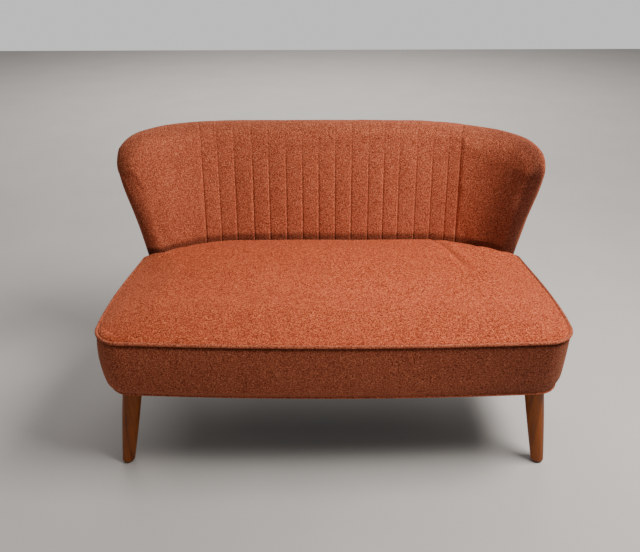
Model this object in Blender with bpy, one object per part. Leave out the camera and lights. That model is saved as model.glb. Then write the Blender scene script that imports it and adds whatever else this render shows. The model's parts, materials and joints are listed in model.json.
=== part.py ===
"""Two-seat cocktail sofa: a tub seat box on four splayed turned legs, with a low winged back.

Metres, +Z up. The front faces -Y and +X is to the right of someone looking at the front.
The origin is on the floor, under the middle of the sofa.
"""

import math

import bmesh
import bpy

# Overall sizes
SEAT_WIDTH = 1.208  # over the piping at the front corners
OVERALL_DEPTH = 0.732  # from the front piping to the rear of the crest
OVERALL_HEIGHT = 0.791  # floor to crest
SEAT_HEIGHT = 0.4235  # floor to the middle of the seat piping
UNDERSIDE = 0.255  # floor to the bottom of the seat box

# Seat box in plan
FRONT_BOW = 0.016  # how far the front edge swells forward
FRONT_CORNER_RADIUS = 0.076
SIDE_TAPER = 0.013  # how far the cloth walls draw in from piping to hem
SEAT_CROWN = 0.022  # rise of the seat above its piping
CROWN_RUN = 0.150  # distance from the edge over which the crown rises

# Back and wings
BACK_LEAN = math.radians(9.5)
BACK_HALF = 0.035  # half the thickness of the finished back
WING_CORNER_RADIUS = 0.110
WING_SETBACK = 0.0665  # from the seat's side in to the back's middle surface, at seat level
WING_TURN = 0.2575  # width of the bend between the straight of the back and the wing's edge
WING_REACH = 0.109  # how far the wing edges stand forward of the back at seat level
WING_SPREAD = math.radians(10.7)
WING_EDGE_LEAN = math.radians(2.25)
SEAM_RUN = 0.132  # from the start of the bend out to the outermost channel seam

# Cloth, piping and padding
GAP = 0.0003
EDGE_CLEARANCE = 0.0012  # between the rolled edge and the flat layers inside it
LAYER_CLEARANCE = 0.0008  # between the back frame and the hessian stretched over it
COVER = 0.0018
PIPING_RADIUS = 0.0045
HEM_RADIUS = 0.003
HESSIAN = 0.0012
DUST_CLOTH = 0.0012
DUST_CLEARANCE = 0.006  # from a leg's side to the cloth under the frame, whose corner is cut out

# Timber
RAIL_THICKNESS = 0.025
RAIL_HEIGHT = 0.100
RAIL_CLEARANCE = 0.0106  # from the hem's face in to the rails
RAIL_LIFT = 0.002  # rails above the hem's lowest line
BRACE_WIDTH = 0.040
BRACE_HEIGHT = 0.055
BLOCK_THICKNESS = 0.040
FRONT_BLOCK_LAP = 0.045
REAR_BLOCK_LAP = 0.085
REAR_JOINT = 0.030  # the rear corner block shows between the side rail's end and the rear rail's
FRAME_FRONT = 0.0045  # front face of the back frame, ahead of the back's middle surface
POST_WIDTH = 0.060
LOWER_RAIL_RISE = 0.0165  # from the seat's piping up to the lower rail
LOWER_RAIL_HEIGHT = 0.045

# Legs
LEG_TOP_RADIUS = 0.0262
LEG_FOOT_RADIUS = 0.0172
LEG_SWELL = 0.0012
FOOT_CHAMFER = 0.0025
FRONT_LEG_INSET = (0.070, 0.0875)  # from the seat's side and front edge in to the leg's top
FRONT_LEG_SPLAY = (0.039, -0.020)  # how far the foot stands out from the top
REAR_LEG_INSET = (0.0395, 0.1149)  # from the wing and the back, at seat level, in to the leg's top
REAR_LEG_SPLAY = (0.040, 0.062)
LEG_SIDES = 18
LEG_STEPS = 6  # rings between a leg's foot and its top
BOLT_SIDES = 12
GLIDE_SIDES = 16
BOLT_RADIUS = 0.004
BOLT_CLEARANCE = 0.0005
BOLT_DEPTH = 0.045
WASHER_RADIUS = 0.010
WASHER_THICKNESS = 0.0016
NUT_RADIUS = 0.0072
NUT_HEIGHT = 0.0065
GLIDE_RADIUS = 0.0125
GLIDE_THICKNESS = 0.004

# Springs
SPRING_COUNT = 6
SPRING_MARGIN = 0.1135  # from the front rail's end to the nearest spring
SPRING_WAVES = 8
SPRING_HALF_WIDTH = 0.026
BENDS_PER_WAVE = 6
WIRE_RADIUS = 0.0018
CLIP_THICKNESS = 0.0015
CLIP_WIDTH = 0.024
CLIP_PLATE = 0.014
CLIP_LIP = 0.003
WIRE_CLEARANCE = 0.0004

# Levels that follow
FRONT = -OVERALL_DEPTH / 2
REAR = OVERALL_DEPTH / 2
SEAT_HALF = SEAT_WIDTH / 2 - PIPING_RADIUS
FRONT_FACE = FRONT + PIPING_RADIUS
CREST_CENTRE = OVERALL_HEIGHT - BACK_HALF
PAD = COVER + GAP
RAIL_OUT = SIDE_TAPER + RAIL_CLEARANCE
RAIL_IN = RAIL_OUT + RAIL_THICKNESS
RAIL_BASE = UNDERSIDE + RAIL_LIFT
RAIL_TOP = RAIL_BASE + RAIL_HEIGHT
FRAME_REAR = FRAME_FRONT - RAIL_THICKNESS
FRAME_INSET = BACK_HALF + EDGE_CLEARANCE
WIRE_LEVEL = RAIL_TOP + GAP + CLIP_THICKNESS + WIRE_CLEARANCE + WIRE_RADIUS
HESSIAN_LEVEL = WIRE_LEVEL + WIRE_RADIUS + WIRE_CLEARANCE + CLIP_THICKNESS + GAP
SEAT_SEAM = SEAT_HEIGHT - PIPING_RADIUS - GAP  # top edge of the border under the piping
WING_BASE_HALF = SEAT_WIDTH / 2 - WING_SETBACK
STRAIGHT_HALF = WING_BASE_HALF - WING_TURN
SEAM_LINE = STRAIGHT_HALF + SEAM_RUN
QUARTER_TURN = math.pi / 2
SHARP_TIMBER = math.radians(40)  # edges that turn more than this stay crisp
SHARP_CLOTH = math.radians(50)
ARC_STEPS = 6  # along the front edge and round each front corner
FOOT_STEPS = 3  # round the foot of a wing
BEND_STEPS = 7  # round the bend behind the seat

CROWN_RINGS = [1, 0.97, 0.93, 0.87, 0.78, 0.62, 0.35, 0.08]
ROLL_ANGLES = [QUARTER_TURN * k / 4 for k in (4, 3, 2, 1, 0)]
HEIGHT_SHARES = [0, 0.25, 0.5, 0.75, 1, 1.35, 1.7, 2]
WING_SHARES = [0, 0.33, 0.67, 1, 1.35, 1.7, 2]
BAY_GAP = 0.003  # share of a bay left open at a joint


# ---------------------------------------------------------------- materials


def make_material(name, colour, roughness, metallic=0.0):
    material = bpy.data.materials.new(name)
    material.use_nodes = True
    shader = material.node_tree.nodes["Principled BSDF"]
    shader.inputs["Base Color"].default_value = (*colour, 1.0)
    shader.inputs["Roughness"].default_value = roughness
    shader.inputs["Metallic"].default_value = metallic
    material.diffuse_color = (*colour, 1.0)
    return material


def velvet(name):
    return make_material(name, (0.42, 0.11, 0.055), 0.85)


def beech(name):
    return make_material(name, (0.55, 0.38, 0.22), 0.6)


def stained_wood(name):
    return make_material(name, (0.20, 0.085, 0.035), 0.4)


def steel(name):
    return make_material(name, (0.55, 0.55, 0.56), 0.35, 1.0)


def nylon(name):
    return make_material(name, (0.04, 0.035, 0.03), 0.5)


def hessian(name):
    return make_material(name, (0.45, 0.34, 0.2), 0.95)


def foam(name):
    return make_material(name, (0.8, 0.75, 0.6), 0.9)


def black_cloth(name):
    return make_material(name, (0.02, 0.02, 0.02), 0.95)


# ------------------------------------------------------------ mesh helpers


def add_mesh(name, points, faces, finish, smooth_angle=None):
    """One object from points and faces, its faces turned outward."""
    mesh = bpy.data.meshes.new(name)
    mesh.from_pydata(points, [], faces)
    work = bmesh.new()
    work.from_mesh(mesh)
    bmesh.ops.recalc_face_normals(work, faces=work.faces)
    work.to_mesh(mesh)
    work.free()
    if smooth_angle is not None:
        mesh.shade_smooth()
        mesh.set_sharp_from_angle(angle=smooth_angle)
    mesh.materials.append(finish(name))
    body = bpy.data.objects.new(name, mesh)
    bpy.context.scene.collection.objects.link(body)
    return body


def loft(name, rings, finish, ring_shaped=False, smooth_angle=None):
    """A skin over rings of equal count, capped at both ends or closed on itself."""
    count = len(rings[0])
    points = [point for ring in rings for point in ring]
    pairs = [(k, k + 1) for k in range(len(rings) - 1)]
    if ring_shaped:
        pairs.append((len(rings) - 1, 0))
    faces = []
    for low, high in pairs:
        for k in range(count):
            step = (k + 1) % count
            faces.append((low * count + k, low * count + step, high * count + step, high * count + k))
    if not ring_shaped:
        faces.append(tuple(range(count)))
        faces.append(tuple((len(rings) - 1) * count + k for k in range(count)))
    return add_mesh(name, points, faces, finish, smooth_angle)


def prism(name, outline, base, top, finish):
    """A flat outline raised from base to top."""
    return loft(name, [[(x, y, z) for x, y in outline] for z in (base, top)], finish)


def sheet_between(name, faces, outer, inner, finish, smooth_angle=None):
    """A closed body between two surfaces of the same layout.

    faces lists tuples of keys; outer and inner turn a key into a point. Both surfaces are split
    along the same diagonals, so that layers laid over each other stay parallel.
    """
    keys = sorted({key for face in faces for key in face})
    index = {key: k for k, key in enumerate(keys)}
    points = [outer(key) for key in keys] + [inner(key) for key in keys]
    shift = len(keys)
    solid = []
    edges = {}
    for face in faces:
        ring = [index[key] for key in face]
        for near, far in zip(ring[1:], ring[2:]):
            solid.append((ring[0], near, far))
            solid.append((far + shift, near + shift, ring[0] + shift))
        for k, first in enumerate(ring):
            second = ring[(k + 1) % len(ring)]
            edge = (min(first, second), max(first, second))
            edges[edge] = edges.get(edge, 0) + 1
    for (first, second), uses in edges.items():
        if uses == 1:
            solid.append((first, second, second + shift, first + shift))
    return add_mesh(name, points, solid, finish, smooth_angle)


def tube(name, route, radius, finish, sides_level=1, cyclic=False):
    """A round tube along a route."""
    curve = bpy.data.curves.new(name, "CURVE")
    curve.dimensions = "3D"
    curve.bevel_depth = radius
    curve.bevel_resolution = sides_level
    curve.use_fill_caps = not cyclic
    spline = curve.splines.new("POLY")
    spline.points.add(len(route) - 1)
    for point, place in zip(spline.points, route):
        point.co = (*place, 1.0)
    spline.use_cyclic_u = cyclic
    curve.materials.append(finish(name))
    body = bpy.data.objects.new(name, curve)
    bpy.context.scene.collection.objects.link(body)
    return body


def both_sides(right_half):
    """A closed outline from its right half, which runs from the front middle to the rear middle."""
    inner = [(x, y) for x, y in right_half if x > GAP]
    middle = [(x, y) for x, y in right_half if x <= GAP]
    left = [(-x, y) for x, y in reversed(inner)]
    return [middle[0]] + inner + middle[1:] + left


# ------------------------------------------------- the back's own surface


def back_y(z):
    """Y of the back's middle surface on the centre line."""
    return REAR - BACK_HALF - math.tan(BACK_LEAN) * (CREST_CENTRE - z)


def wing_end(z):
    """Where the rolled front edge of the wing has its middle."""
    rise = z - SEAT_HEIGHT
    x = WING_BASE_HALF + math.tan(WING_SPREAD) * rise
    y = back_y(SEAT_HEIGHT) - WING_REACH + math.tan(WING_EDGE_LEAN) * rise
    return x, y


def wing_arc(z):
    """Radius and sweep of the arc that turns the back forward into a wing."""
    x, y = wing_end(z)
    run = x - STRAIGHT_HALF
    reach = back_y(z) - y
    radius = (run * run + reach * reach) / (2 * reach)
    return radius, math.asin(run / radius)


def edge_length(z):
    """Length of the middle surface from the centre line to the tip of the wing's rolled edge."""
    radius, sweep = wing_arc(z)
    return STRAIGHT_HALF + radius * sweep + BACK_HALF


def back_point(s, z, offset):
    """A point s along the middle surface at height z, offset towards the sitter."""
    side = -1 if s < 0 else 1
    run = abs(s) - STRAIGHT_HALF
    if run <= 0:
        return (s, back_y(z) - offset, z)
    radius = wing_arc(z)[0]
    turn = run / radius
    x = STRAIGHT_HALF + (radius - offset) * math.sin(turn)
    y = back_y(z) - radius + (radius - offset) * math.cos(turn)
    return (side * x, y, z)


def edged_place(start, share, level, inset):
    """Place (s, z) on the back, with its top corners rounded, inset from its edge.

    share runs from start (0) to the corner's tangent line (1) and to the wing's edge (2).
    level runs from the seat (0) to the corner's tangent line (1) and to the crest (2).
    """
    radius = WING_CORNER_RADIUS - inset
    tangent_z = OVERALL_HEIGHT - WING_CORNER_RADIUS
    across = max(abs(share) - 1, 0)
    up = max(level - 1, 0)
    z = SEAT_HEIGHT + min(level, 1) * (tangent_z - SEAT_HEIGHT) + up * radius
    tangent_s = edge_length(z) - WING_CORNER_RADIUS
    side = -1 if start < 0 or share < 0 else 1
    s = abs(start) + min(abs(share), 1) * (tangent_s - abs(start))
    if across > 0:
        s = tangent_s + radius * across * math.sqrt(1 - up * up / 2)
    if up > 0:
        z = tangent_z + radius * up * math.sqrt(1 - across * across / 2)
    return side * s, z


def roll_point(key, inset, face):
    """A point of the rounded pad. The key's angle is 90 degrees on its flat, 0 on its crest."""
    start, share, level, angle = key
    radius = BACK_HALF - inset
    s, z = edged_place(start, share, level, BACK_HALF - radius * math.cos(angle))
    return back_point(s, z, face * max(radius * math.sin(angle), GAP / 2))


def flat_point(key, offset):
    """A point of a layer inside the rolled edge."""
    start, share, level, _ = key
    s, z = edged_place(start, share, level, FRAME_INSET)
    return back_point(s, z, offset)


def grid_faces(columns, levels):
    """Four-sided faces of a layer, columns being (start, share) pairs."""
    flat = ROLL_ANGLES[0]
    faces = []
    for left, right in zip(columns, columns[1:]):
        for low, high in zip(levels, levels[1:]):
            faces.append(((*left, low, flat), (*right, low, flat), (*right, high, flat), (*left, high, flat)))
    return faces


def rim_faces(stations):
    """Faces of the rolled edge along stations, which are (start, share, level)."""
    faces = []
    for one, two in zip(stations, stations[1:]):
        for inner, outer in zip(ROLL_ANGLES, ROLL_ANGLES[1:]):
            faces.append(((*one, inner), (*two, inner), (*two, outer), (*one, outer)))
    return faces


def centre_columns(limit):
    """Columns of the panel between the outermost channel seams."""
    bend = (STRAIGHT_HALF + limit) / 2
    return [(s, 0) for s in (-limit, -bend, -STRAIGHT_HALF, 0, STRAIGHT_HALF, bend, limit)]


def wing_columns(side, start):
    """Columns from a channel seam out to the wing's edge."""
    return [(side * start, side * share) for share in WING_SHARES]


def wing_rim(side, start):
    """Stations up the wing's edge, round its corner and in along its top."""
    edge = side * WING_SHARES[-1]
    up = [(side * start, edge, level) for level in HEIGHT_SHARES]
    along = [(side * start, side * share, HEIGHT_SHARES[-1]) for share in reversed(WING_SHARES[:-1])]
    return up + along


def whole_columns():
    left = list(reversed(wing_columns(-1, SEAM_LINE)))
    right = wing_columns(1, SEAM_LINE)
    return left[:-1] + centre_columns(SEAM_LINE) + right[1:]


def whole_rim():
    left = wing_rim(-1, SEAM_LINE)
    right = list(reversed(wing_rim(1, SEAM_LINE)))
    middle = [(*column, HEIGHT_SHARES[-1]) for column in centre_columns(SEAM_LINE)]
    return left[:-1] + middle + right[1:]


def level_share(z):
    """The level of a height below the wing's corners."""
    return (z - SEAT_HEIGHT) / (OVERALL_HEIGHT - WING_CORNER_RADIUS - SEAT_HEIGHT)


# --------------------------------------------------- the seat box in plan


def front_circle():
    """Y of the centre and radius of the front edge's shallow arc."""
    half = SEAT_HALF - FRONT_CORNER_RADIUS
    radius = (half * half + FRONT_BOW * FRONT_BOW) / (2 * FRONT_BOW)
    return FRONT_FACE + radius, radius


def corner_centre():
    """Centre of the right front corner's arc, tangent inside the front arc."""
    centre_y, radius = front_circle()
    x = SEAT_HALF - FRONT_CORNER_RADIUS
    return x, centre_y - math.sqrt((radius - FRONT_CORNER_RADIUS) ** 2 - x * x)


def side_angle():
    """Angle of the right side's outward normal, tangent to the corner and to the wing's foot."""
    corner = corner_centre()
    foot = wing_end(SEAT_HEIGHT)
    run = (corner[0] - foot[0], corner[1] - foot[1])
    lean = math.acos((BACK_HALF - FRONT_CORNER_RADIUS) / math.hypot(*run))
    return math.atan2(run[1], run[0]) + lean


def arc(centre, radius, start, end, steps):
    turns = [start + (end - start) * k / steps for k in range(steps + 1)]
    return [(centre[0] + radius * math.cos(t), centre[1] + radius * math.sin(t)) for t in turns]


def front_edge(inset):
    """Right half of the front edge, from the middle to the corner."""
    centre_y, radius = front_circle()
    corner = corner_centre()
    turn = math.atan2(corner[0], centre_y - corner[1])
    return arc((0, centre_y), radius - inset, -QUARTER_TURN, -QUARTER_TURN + turn, ARC_STEPS)


def front_corner(inset):
    centre_y, _ = front_circle()
    corner = corner_centre()
    turn = math.atan2(corner[0], centre_y - corner[1])
    return arc(corner, FRONT_CORNER_RADIUS - inset, -QUARTER_TURN + turn, side_angle(), ARC_STEPS)


def piping_end():
    """Y where the piping stops, just ahead of the wing's foot."""
    return wing_end(SEAT_HEIGHT)[1] - BACK_HALF - GAP


def side_x(y, inset):
    """X of the right side at y."""
    angle = side_angle()
    corner = corner_centre()
    reach = corner[0] * math.cos(angle) + corner[1] * math.sin(angle) + FRONT_CORNER_RADIUS - inset
    return (reach - y * math.sin(angle)) / math.cos(angle)


def wing_foot(inset):
    _, sweep = wing_arc(SEAT_HEIGHT)
    return arc(wing_end(SEAT_HEIGHT), BACK_HALF - inset, side_angle(), QUARTER_TURN - sweep, FOOT_STEPS)


def rear_bend(inset):
    radius, sweep = wing_arc(SEAT_HEIGHT)
    centre = (STRAIGHT_HALF, back_y(SEAT_HEIGHT) - radius)
    return arc(centre, radius + BACK_HALF - inset, QUARTER_TURN - sweep, QUARTER_TURN, BEND_STEPS)


def box_outline(inset):
    """The seat box's closed outline, drawn in by inset."""
    stop = piping_end()
    right = front_edge(inset) + front_corner(inset)[1:]
    right += [(side_x(stop, inset), stop)]
    right += wing_foot(inset) + rear_bend(inset)[1:]
    right += [(0, rear_bend(inset)[-1][1])]
    return both_sides(right)


def seat_outline(inset):
    """Outline of the seat pad: the box's front and sides, and the foot of the back behind."""
    stop = piping_end()
    columns = reversed(centre_columns(SEAM_LINE)[3:] + wing_columns(1, SEAM_LINE)[1:])
    places = [edged_place(start, share, 0, BACK_HALF)[0] for start, share in columns]
    behind = [back_point(s, SEAT_HEIGHT, BACK_HALF + GAP)[:2] for s in places]
    right = front_edge(inset) + front_corner(inset)[1:]
    right += [(side_x(stop, inset), stop), (behind[0][0], stop)]
    return both_sides(right + behind)


def crown(x, y):
    """Rise of the seat above its piping at a place in plan."""
    centre_y, radius = front_circle()
    corner = corner_centre()
    from_front = radius - math.hypot(x, y - centre_y)
    from_side = (side_x(y, 0) - abs(x)) * math.cos(side_angle())
    reach = min(from_front, from_side)
    if abs(x) > corner[0] and y < corner[1]:
        reach = FRONT_CORNER_RADIUS - math.hypot(abs(x) - corner[0], y - corner[1])
    share = min(max(reach, 0) / CROWN_RUN, 1)
    return SEAT_CROWN * math.sin(share * QUARTER_TURN)


# ------------------------------------------------------------- seat frame


def band(outer, inner):
    """A plan outline between two lines of points."""
    return outer + list(reversed(inner))


def mirrored(line):
    return [(-x, y) for x, y in line]


def build_front_rail():
    outer = front_edge(RAIL_OUT)
    inner = front_edge(RAIL_IN)
    outer = mirrored(reversed(outer[1:])) + outer
    inner = mirrored(reversed(inner[1:])) + inner
    prism("front_rail", band(outer, inner), RAIL_BASE, RAIL_TOP, beech)


def build_rear_rail():
    outer = rear_bend(RAIL_OUT)
    inner = rear_bend(RAIL_IN)
    outer = outer + mirrored(reversed(outer))
    inner = inner + mirrored(reversed(inner))
    prism("rear_rail", band(outer, inner), RAIL_BASE, RAIL_TOP, beech)


def side_rail_ends():
    """Y of both ends: the front corner's arc, and short of the rear rail's end."""
    return front_corner(RAIL_OUT)[-1][1], rear_bend(RAIL_IN)[0][1] - REAR_JOINT


def build_side_rails():
    front, rear = side_rail_ends()
    outline = [(side_x(y, RAIL_OUT), y) for y in (front, rear)]
    outline += [(side_x(y, RAIL_IN), y) for y in (rear, front)]
    prism("side_rail_right", outline, RAIL_BASE, RAIL_TOP, beech)
    prism("side_rail_left", mirrored(outline), RAIL_BASE, RAIL_TOP, beech)


def build_centre_brace():
    half = BRACE_WIDTH / 2
    front = FRONT_FACE + RAIL_IN + GAP
    rear = rear_bend(RAIL_IN)[-1][1] - GAP
    outline = [(-half, front), (half, front), (half, rear), (-half, rear)]
    prism("centre_brace", outline, RAIL_BASE, RAIL_BASE + BRACE_HEIGHT, beech)


def shifted(point, angle, distance):
    return point[0] + math.cos(angle) * distance, point[1] + math.sin(angle) * distance


def front_block_outline():
    """Fills the round front corner and laps behind both rails."""
    centre_y, _ = front_circle()
    corner = corner_centre()
    front_normal = -QUARTER_TURN + math.atan2(corner[0], centre_y - corner[1])
    side_normal = side_angle()
    along_front = front_normal - QUARTER_TURN
    along_side = side_normal + QUARTER_TURN
    depth = RAIL_THICKNESS + GAP
    rim = arc(corner, FRONT_CORNER_RADIUS - RAIL_OUT, front_normal, side_normal, ARC_STEPS)
    front_start = shifted(rim[0], along_front, -GAP)
    side_start = shifted(rim[-1], along_side, -GAP)
    side_inner = shifted(side_start, side_normal, -depth)
    front_inner = shifted(front_start, front_normal, -depth)
    outline = [front_start] + rim[1:-1] + [side_start, side_inner]
    outline.append(shifted(side_inner, along_side, FRONT_BLOCK_LAP))
    outline.append(shifted(front_inner, along_front, FRONT_BLOCK_LAP))
    outline.append(front_inner)
    return outline


def rear_block_outline():
    """Fills the corner under the wing's foot and laps behind both rails."""
    radius, sweep = wing_arc(SEAT_HEIGHT)
    rear_normal = QUARTER_TURN - sweep
    along_rear = rear_normal + QUARTER_TURN
    foot = wing_foot(RAIL_OUT)
    start_y = side_rail_ends()[1] + GAP
    side_inner = (side_x(start_y, RAIL_IN + GAP), start_y)
    side_lap = (side_x(start_y - REAR_BLOCK_LAP, RAIL_IN + GAP), start_y - REAR_BLOCK_LAP)
    rear_start = shifted(foot[-1], along_rear, -GAP)
    rear_inner = shifted(rear_start, rear_normal, -RAIL_THICKNESS - GAP)
    drop = REAR_BLOCK_LAP**2 / (2 * (radius + BACK_HALF - RAIL_IN))
    rear_lap = shifted(shifted(rear_inner, along_rear, REAR_BLOCK_LAP), rear_normal, -drop - GAP)
    outline = [(side_x(start_y, RAIL_OUT), start_y)] + foot[:-1] + [rear_start, rear_inner, rear_lap]
    return outline + [(rear_lap[0], side_lap[1]), side_lap, side_inner]


def leg_tops():
    """Place in plan of the tops of the right-hand legs, front and rear."""
    front = (SEAT_WIDTH / 2 - FRONT_LEG_INSET[0], FRONT + FRONT_LEG_INSET[1])
    rear = (WING_BASE_HALF - REAR_LEG_INSET[0], back_y(SEAT_HEIGHT) - REAR_LEG_INSET[1])
    return front, rear


def axis_ring(top, splay, side, z, radius, sides):
    """A level ring round a splayed axis, which passes through top and stands out by splay below."""
    drop = 1 - z / RAIL_BASE
    x = top[0] + splay[0] * drop
    y = top[1] + splay[1] * drop
    turns = [2 * math.pi * k / sides for k in range(sides)]
    return [(side * (x + radius * math.cos(t)), y + radius * math.sin(t), z) for t in turns]


def build_corner_block(name, outline, top, splay, side):
    outline = [(side * x, y) for x, y in outline]
    block = prism(name, outline, RAIL_BASE, RAIL_BASE + BLOCK_THICKNESS, beech)
    radius = BOLT_RADIUS + BOLT_CLEARANCE
    margin = BLOCK_THICKNESS / 4
    levels = (RAIL_BASE - margin, RAIL_BASE + BLOCK_THICKNESS + margin)
    rings = [axis_ring(top, splay, side, z, radius, BOLT_SIDES) for z in levels]
    cutter = loft(name + "_bolt_cutter", rings, steel)
    cutter.hide_render = True
    cutter.display_type = "WIRE"
    hole = block.modifiers.new("bolt_hole", "BOOLEAN")
    hole.operation = "DIFFERENCE"
    hole.object = cutter


def build_corner_blocks():
    front, rear = leg_tops()
    corners = (
        ("front", front_block_outline(), front, FRONT_LEG_SPLAY),
        ("rear", rear_block_outline(), rear, REAR_LEG_SPLAY),
    )
    for place, outline, top, splay in corners:
        for hand, side in (("left", -1), ("right", 1)):
            build_corner_block(f"corner_block_{place}_{hand}", outline, top, splay, side)


# -------------------------------------------------------------------- legs


def leg_profile():
    """(height, radius) pairs up the leg and down into its blind bolt hole."""
    foot = GLIDE_THICKNESS + GAP
    top = RAIL_BASE - GAP
    profile = [(foot, LEG_FOOT_RADIUS - FOOT_CHAMFER)]
    first = foot + FOOT_CHAMFER
    for k in range(LEG_STEPS + 1):
        share = k / LEG_STEPS
        swell = LEG_SWELL * math.sin(math.pi * share)
        radius = LEG_FOOT_RADIUS + (LEG_TOP_RADIUS - LEG_FOOT_RADIUS) * share + swell
        profile.append((first + (top - first) * share, radius))
    hole = BOLT_RADIUS + BOLT_CLEARANCE
    return profile + [(top, hole), (top - BOLT_DEPTH, hole)]


def bolt_profile():
    """(height, radius) pairs up a bolt, through its washer and nut."""
    seat = RAIL_BASE + BLOCK_THICKNESS + GAP
    nut = seat + WASHER_THICKNESS
    base = RAIL_BASE - BOLT_DEPTH + BOLT_CLEARANCE
    tip = nut + NUT_HEIGHT + BOLT_RADIUS
    return [
        (base, BOLT_RADIUS),
        (seat, BOLT_RADIUS),
        (seat, WASHER_RADIUS),
        (nut, WASHER_RADIUS),
        (nut, NUT_RADIUS),
        (nut + NUT_HEIGHT, NUT_RADIUS),
        (nut + NUT_HEIGHT, BOLT_RADIUS),
        (tip, BOLT_RADIUS),
    ]


def glide_profile():
    edge = GLIDE_THICKNESS / 4
    return [(0, GLIDE_RADIUS - edge), (edge, GLIDE_RADIUS), (GLIDE_THICKNESS, GLIDE_RADIUS)]


def build_legs():
    front, rear = leg_tops()
    corners = (("front", front, FRONT_LEG_SPLAY), ("rear", rear, REAR_LEG_SPLAY))
    for place, top, splay in corners:
        for hand, side in (("left", -1), ("right", 1)):
            rings = [axis_ring(top, splay, side, z, r, LEG_SIDES) for z, r in leg_profile()]
            loft(f"leg_{place}_{hand}", rings, stained_wood, smooth_angle=SHARP_TIMBER)
            rings = [axis_ring(top, splay, side, z, r, BOLT_SIDES) for z, r in bolt_profile()]
            loft(f"leg_bolt_{place}_{hand}", rings, steel, smooth_angle=SHARP_TIMBER)
            foot = (top[0] + splay[0], top[1] + splay[1])
            rings = [axis_ring(foot, (0, 0), side, z, r, GLIDE_SIDES) for z, r in glide_profile()]
            loft(f"glide_{place}_{hand}", rings, nylon, smooth_angle=SHARP_TIMBER)


# ----------------------------------------------------------------- springs


def spring_places():
    reach = front_edge(RAIL_OUT)[-1][0] - SPRING_MARGIN
    return [-reach + 2 * reach * k / (SPRING_COUNT - 1) for k in range(SPRING_COUNT)]


def rail_middle(line, x):
    """Y of a rail's middle at x, from the right half of its middle line."""
    points = sorted(line)
    for (x_low, y_low), (x_high, y_high) in zip(points, points[1:]):
        if x_low <= abs(x) <= x_high:
            return y_low + (y_high - y_low) * (abs(x) - x_low) / (x_high - x_low)
    return points[0][1]


def spring_ends(x):
    middle = (RAIL_OUT + RAIL_IN) / 2
    front = rail_middle(front_edge(middle), x)
    rear = rail_middle(rear_bend(middle), x)
    return front, rear


def build_spring(number, x):
    """Sinuous wire with a straight bar in the clip at each end."""
    front, rear = spring_ends(x)
    pitch = (rear - front) / (2 * math.pi * SPRING_WAVES)
    steps = SPRING_WAVES * BENDS_PER_WAVE
    route = []
    for k in range(-1, steps + 2):
        turn = 2 * math.pi * k / BENDS_PER_WAVE
        along = front + pitch * (turn - math.sin(2 * turn) / 2)
        if k <= 1:
            along = front
        if k >= steps - 1:
            along = rear
        route.append((x + SPRING_HALF_WIDTH * math.sin(turn), along, WIRE_LEVEL))
    tube(f"seat_spring_{number}", route, WIRE_RADIUS, steel)


def build_clip(name, x, y, facing):
    """A folded steel clip over a spring's end bar, open towards the seat."""
    reach = WIRE_RADIUS + WIRE_CLEARANCE
    base = RAIL_TOP + GAP
    lip = reach + CLIP_LIP
    section = [
        (-reach - CLIP_THICKNESS, base),
        (CLIP_PLATE - reach, base),
        (CLIP_PLATE - reach, base + CLIP_THICKNESS),
        (-reach, base + CLIP_THICKNESS),
        (-reach, WIRE_LEVEL + reach),
        (lip, WIRE_LEVEL + reach),
        (lip, WIRE_LEVEL + reach + CLIP_THICKNESS),
        (-reach - CLIP_THICKNESS, WIRE_LEVEL + reach + CLIP_THICKNESS),
    ]
    sides = (x - CLIP_WIDTH / 2, x + CLIP_WIDTH / 2)
    rings = [[(side, y + facing * run, z) for run, z in section] for side in sides]
    loft(name, rings, steel)


def build_springs():
    for number, x in enumerate(spring_places(), start=1):
        front, rear = spring_ends(x)
        build_spring(number, x)
        build_clip(f"spring_clip_front_{number}", x, front, 1)
        build_clip(f"spring_clip_rear_{number}", x, rear, -1)


# -------------------------------------------------------- seat upholstery


def pad_centre():
    """The place that the seat's rings of points close in on."""
    return 0, (FRONT_FACE + back_y(SEAT_HEIGHT)) / 2


def seat_faces():
    """Faces of the seat pad's layout: rings that close in, and the patch in the middle."""
    count = len(seat_outline(0))
    last = len(CROWN_RINGS) - 1
    faces = []
    for ring in range(last):
        for k in range(count):
            step = (k + 1) % count
            faces.append(((ring, k), (ring, step), (ring + 1, step), (ring + 1, k)))
    faces.append(tuple((last, k) for k in range(count)))
    return faces


def seat_places(edge_inset):
    """Plan place of each key of the layout. Only the outermost ring follows edge_inset."""
    centre_x, centre_y = pad_centre()
    places = {(0, k): place for k, place in enumerate(seat_outline(edge_inset))}
    for ring, share in enumerate(CROWN_RINGS[1:], start=1):
        for k, (x, y) in enumerate(seat_outline(PIPING_RADIUS + GAP)):
            places[ring, k] = (centre_x + (x - centre_x) * share, centre_y + (y - centre_y) * share)
    return places


def crowned(place, drop):
    return (*place, SEAT_HEIGHT + COVER / 2 + crown(*place) - drop)


def build_seat_foam():
    """A solid pad with a crowned top."""
    places = seat_places(2 * PIPING_RADIUS + GAP)
    base = HESSIAN_LEVEL + HESSIAN + GAP
    sheet_between(
        "seat_foam",
        seat_faces(),
        lambda key: crowned(places[key], COVER + GAP),
        lambda key: (*places[key], base),
        foam,
        smooth_angle=SHARP_CLOTH,
    )


def build_seat_top_cover():
    """The cloth over the crowned pad, sewn to the piping at its edge."""
    places = seat_places(PIPING_RADIUS + GAP)
    sheet_between(
        "seat_top_cover",
        seat_faces(),
        lambda key: crowned(places[key], 0),
        lambda key: crowned(places[key], COVER),
        velvet,
        smooth_angle=SHARP_CLOTH,
    )


def border_top(y):
    """Top edge of the border: under the piping ahead, up to the back behind."""
    if y <= piping_end() + GAP:
        return SEAT_SEAM
    return SEAT_HEIGHT - GAP


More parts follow.
